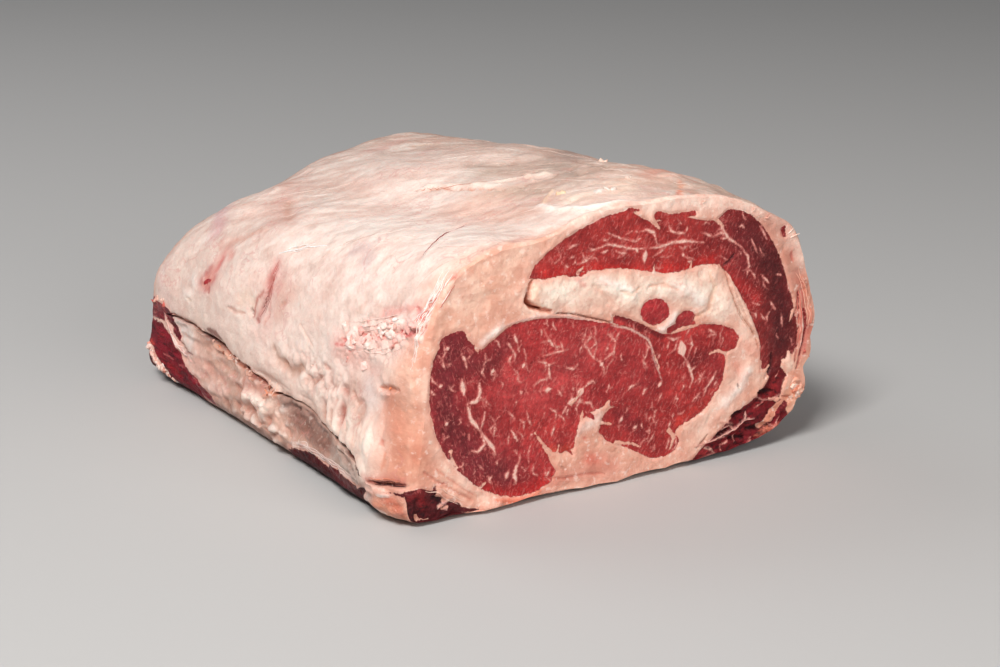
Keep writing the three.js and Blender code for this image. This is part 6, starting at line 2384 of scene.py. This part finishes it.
# %% Where the strands are
# SHINE is near white: the sinew's pale colour brightened into a painted glint
SINEW, SHINE = (232, 202, 192), (255, 246, 240)
# where, half thickness, how many side by side, how far apart, colour, path
STRANDS = [
    ("space", 0.28, 11, 0.75, SHINE,
     [(-90, -110, 76), (-87, -111, 81), (-84, -112, 86), (-80, -112.6, 92), (-75, -111, 98)]),
    ("space", 0.24, 5, 1.7, (214, 120, 108),
     [(-90, -110.6, 77), (-86, -112, 83), (-82, -112.6, 89), (-77, -111.6, 96)]),
    ("space", 0.22, 4, 1.1, (252, 228, 218),
     [(-96, -113.6, 62), (-94, -113.4, 69), (-91, -112.6, 75), (-87, -112, 81)]),
    # the silver thread: pale sinew, painted near white for its glint
    ("side", 0.75, 1, 0, (255, 252, 250), [(17, 77.6), (6, 81), (-3, 83.9), (-15, 87)]),
    ("side", 0.4, 2, 1.6, SHINE, [(12, 79.4), (4, 82), (-6, 85)]),
    ("side", 0.42, 3, 0.8, (66, 20, 18),
     [(-99.5, 15.8), (-104, 16.2), (-108, 17), (-112, 17.4), (-115.2, 18)]),
    ("side", 0.34, 2, 1.3, (214, 128, 96),
     [(-101, 17), (-105, 17.8), (-109, 18.6), (-114, 19)]),
    ("side", 0.2, 3, 1.4, (168, 84, 76), [(12.6, 76), (12.4, 71), (10, 65), (10, 60), (12.4, 54)]),
    ("side", 0.18, 2, 1.6, (122, 56, 48), [(11, 63), (11.6, 58), (14, 53)]),
    ("top", 0.26, 1, 0, (142, 40, 40),
     [(-72, -86), (-64, -81), (-54, -72.5), (-45, -67), (-38, -64)]),
    ("top", 0.15, 1, 0, (196, 120, 92),
     [(-26, 3), (-21, -6), (-18, -15), (-13, -27), (-8, -35), (2, -43)]),
    ("side", 0.3, 1, 0, (240, 204, 186), [(3, 29.4), (1.4, 26), (0.6, 21.6)]),
    ("side", 0.26, 1, 0, (240, 204, 186), [(-4, 28.6), (-6.4, 25), (-7, 22.4)]),
    ("side", 0.26, 1, 0, (232, 180, 156), [(22, 31.4), (19, 28.4), (15, 26.6)]),
    ("side", 0.55, 2, 0.9, SINEW,
     [(101, 33.6), (98, 29.8), (95, 26.8), (91, 23.8), (86, 21.6), (80, 20.4), (70, 17.8)]),
    ("side", 0.26, 3, 1.0, (222, 200, 192),
     [(-22, 9), (-38, 11.6), (-58, 11.8), (-76, 11), (-92, 10)]),
    ("side", 0.3, 3, 1.4, (248, 216, 206), [(-60, 66), (-74, 69.4), (-88, 74), (-100, 79)]),
    ("side", 0.26, 2, 1.2, (250, 220, 210), [(-64, 58.6), (-78, 61), (-92, 64), (-104, 70)]),
    ("front", 0.34, 1, 0, (214, 158, 146),
     [(40, 8), (48, 8.4), (55, 9.4), (60, 11.2), (66, 14), (71, 14)]),
    ("front", 0.28, 1, 0, (210, 150, 138), [(66, 14), (67, 17.6)]),
    ("front", 0.24, 1, 0, (210, 150, 138), [(60, 11.2), (58, 13.6), (53.6, 12.6)]),
    ("front", 0.22, 1, 0, (196, 128, 120), [(70, 24.6), (75, 21.4), (81, 20.6), (84, 22.6)]),
    ("front", 0.3, 2, 1.2, (214, 120, 104), [(91, 70), (92.4, 60), (93.6, 50), (92, 40)]),
    ("front", 0.34, 2, 1.0, (238, 178, 156), [(88, 82), (94, 68), (97.4, 56), (97.6, 46)]),
    ("front", 0.3, 2, 1.4, (240, 196, 176), [(52.4, 82), (56, 73), (61.6, 62), (68, 52), (72, 45)]),
    ("front", 0.26, 2, 1.6, (244, 200, 182), [(-90, 16), (-84, 13.6), (-77, 8.6), (-70, 4)]),
]
print(len(STRANDS), "bunches with", sum(row[2] for row in STRANDS), "strands")

# %% Fine fibres of the skin
FIBRE_COUNT, FIBRE_TURN = 130, 13
FIBRE_CORNERS = (-78, -104), (84, 104)
FIBRE_COLOURS = (246, 230, 220), (212, 172, 158), (232, 204, 190)


def skin_fibres(seed, count):
    """Fine fibres of the skin over the top, which all run one way."""
    chance = np.random.default_rng(seed)
    fibres = []
    for number in range(count):
        place = chance.uniform(*FIBRE_CORNERS)
        angle = math.radians(FIBRE_ANGLE + chance.normal(0, FIBRE_TURN))
        reach = np.array((math.cos(angle), math.sin(angle))) * chance.uniform(4, 12)
        aside = np.array((-reach[1], reach[0])) * chance.normal(0, 0.08)
        colour = FIBRE_COLOURS[number % len(FIBRE_COLOURS)]
        fibres.append(("top", float(chance.uniform(0.06, 0.13)), 1, 0, colour,
                       [tuple(place - reach), tuple(place + aside), tuple(place + reach)]))
    return fibres


fibres = skin_fibres(74, FIBRE_COUNT)
print(len(fibres), "fibres, the first from", np.round(fibres[0][5][0], 1))

# %% Lay the strands on the surface
SPREAD = {1: (1, 1), 2: (1, 1), 3: (-0.6, 0.8, 0.1)}
STRAND_STEP, WAVE_STEPS, LEAST_HEIGHT, FEWEST = 0.8, 6, 0.6, 4


def strand_line(chance, path, number, count, gap):
    """One thread of a bunch: the path, trimmed, waved and moved aside."""
    line = spaced(path, STRAND_STEP)
    trimmed = chance.integers(0, len(line) // 4 + 1, 2) if count > 1 else (0, 0)
    line = line[trimmed[0]:len(line) - trimmed[1]]
    phase, size = chance.uniform(0, 50), line.shape[1]
    wave = np.array([[noise.noise(Vector((phase + step / WAVE_STEPS, 3.3 * axis, number)))
                      for axis in range(size)] for step in range(len(line))])
    aside = (number - (count - 1) / 2) * gap * chance.uniform(0.75, 1.1)
    return line + aside * np.array(SPREAD[size]) + wave * (0.35 + 0.3 * gap)


def strand_places(seed):
    """The points, edges, radii and colours of every strand."""
    chance = np.random.default_rng(seed)
    points, edges, radii, colours = [], [], [], []
    for chart, thick, count, gap, colour, path in STRANDS + fibres:
        for number in range(count):
            line = strand_line(chance, path, number, count, gap)
            laid = [land(chart, place) for place in line]
            laid = [(spot, out) for spot, out in laid
                    if spot is not None and spot[2] > LEAST_HEIGHT]
            if len(laid) < FEWEST:
                continue
            share = np.linspace(0, 1, len(laid))
            swell = np.sqrt(np.sin(np.clip(share, 0.01, 0.99) * math.pi))
            width = thick * chance.uniform(0.6, 1.1) * (0.35 + 0.65 * swell)
            first = len(points)
            for (spot, out), radius, lift in zip(laid, width, swell):
                points.append(spot + out * radius * (1.1 * lift - 0.8))
            radii += list(width)
            colours += [colour] * len(laid)
            edges += [(first + step, first + step + 1) for step in range(len(laid) - 1)]
    return np.array(points), edges, np.array(radii), colours


places, edges, radii, colours = strand_places(72)
print(len(places) - len(edges), "strands of", len(places), "points")

# %% Grow the strands
STRAND_SIZES = {"Sides": 7.0, "Flatness": 0.75}


def strand_tree():
    """A round tube along every line, as thick as the radius kept at its points."""
    tree, start, end = growing_tree("strands", STRAND_SIZES)
    lines = add_node(tree, "GeometryNodeMeshToCurve", {"Mesh": start.outputs["Geometry"]})
    sides = add_node(tree, "FunctionNodeFloatToInt", {0: start.outputs["Sides"]})
    ring = add_node(tree, "GeometryNodeCurvePrimitiveCircle", {
        "Resolution": sides.outputs[0], "Radius": MM})
    squash = add_node(tree, "ShaderNodeCombineXYZ", {
        0: 1.0, 1: start.outputs["Flatness"], 2: 1.0})
    flat = add_node(tree, "GeometryNodeTransform", {
        "Geometry": ring.outputs["Curve"], "Scale": squash.outputs[0]})
    tubes = add_node(tree, "GeometryNodeCurveToMesh", {
        "Curve": lines.outputs["Curve"], "Profile Curve": flat.outputs["Geometry"],
        "Scale": named(tree, "radius"), "Fill Caps": True})
    real = add_node(tree, "GeometryNodeRealizeInstances", {
        "Geometry": tubes.outputs["Mesh"]})
    end_tree(tree, end, real.outputs["Geometry"])
    return tree


grow("sinew_strands", strand_tree(), STRAND_SIZES, places, edges, {"radius": radii}, colours)

# %% [markdown]
# ### Shreds
# Where a skin is torn a few short shreds stand off it. They break the smooth outline of the rim,
# which the eye looks for first. They are grown with the tree of the strands, but flatter and
# thinner towards the tip, and they start inside the fat.

# %% Where the shreds are
# where, start, length and direction, half thickness, colour
SHREDS = [
    ("front", (86, 90), (4.2, -0.8, 1.4), 0.9, (246, 214, 198)),
    ("front", (84.6, 92), (2.4, -0.8, 2.4), 0.6, (250, 226, 214)),
    ("front", (66, 103.4), (0.4, -0.6, 3.0), 0.6, (246, 214, 198)),
    ("front", (72, 100), (1.8, -0.8, 1.8), 0.5, (236, 180, 160)),
    ("front", (60, 106), (0.6, -0.4, 2.0), 0.5, (248, 220, 204)),
    ("front", (95.4, 40), (3.4, -0.6, -3.2), 1.4, (196, 104, 92)),
    ("front", (95, 60), (2.2, -0.6, 0.8), 0.5, (240, 190, 170)),
    ("front", (92.6, 70), (2.2, -0.5, 1.2), 0.5, (236, 176, 156)),
    ("front", (40, 110), (0.6, -0.5, 1.8), 0.45, (250, 226, 210)),
    ("front", (22, 112), (-0.4, -0.5, 1.6), 0.45, (250, 226, 210)),
    ("side", (112, 36), (-1.4, 1.2, 1.0), 1.1, (206, 100, 88)),
    ("side", (113, 15), (-1.4, 0.8, -0.4), 1.1, (240, 196, 182)),
    ("side", (46, 30.6), (-1.4, 0.6, 1.6), 0.6, (226, 150, 120)),
    ("side", (36, 29.2), (-1.6, -0.4, 1.6), 0.6, (236, 176, 150)),
    ("side", (-2, 23.4), (-1.2, 0.8, 1.8), 0.7, (232, 164, 134)),
    ("side", (-100, 52.4), (-1.2, -1.0, -0.8), 0.7, (234, 150, 110)),
]


SHRED_STEPS, SHRED_BEND, SHRED_ROOT, LOWEST = 9, 0.35, 0.5, 0.8


def shred_places(seed):
    chance = np.random.default_rng(seed)
    points, edges, radii, colours = [], [], [], []
    for chart, place, reach, thick, colour in SHREDS:
        spot, out = land(chart, place)
        if spot is None:
            continue
        first = len(points)
        bend = chance.normal(0, SHRED_BEND, 3)
        for share in np.linspace(0, 1, SHRED_STEPS):
            curl = bend * math.sin(share * math.pi)
            away = spot - out * SHRED_ROOT * (1 - share) + np.array(reach) * share + curl
            points.append(np.maximum(away, (-FAR, -FAR, LOWEST)))
            radii.append(thick * (1 - 0.85 * share ** 1.5))
            colours.append(colour)
        edges += [(first + step, first + step + 1) for step in range(SHRED_STEPS - 1)]
    return np.array(points), edges, np.array(radii), colours


places, edges, radii, colours = shred_places(73)
print(len(places) // SHRED_STEPS, "shreds")

# %% Grow the shreds
SHRED_SIZES = {"Sides": 9.0, "Flatness": 0.5}
grow("torn_shreds", strand_tree(), SHRED_SIZES, places, edges, {"radius": radii}, colours)

# %% [markdown]
# ## The size of the solids
# The box of the imported solids is printed, in millimetres.

# %% Sizes
print("solids", [[round(value / MM, 1) for value in corner] for corner in cad_box])
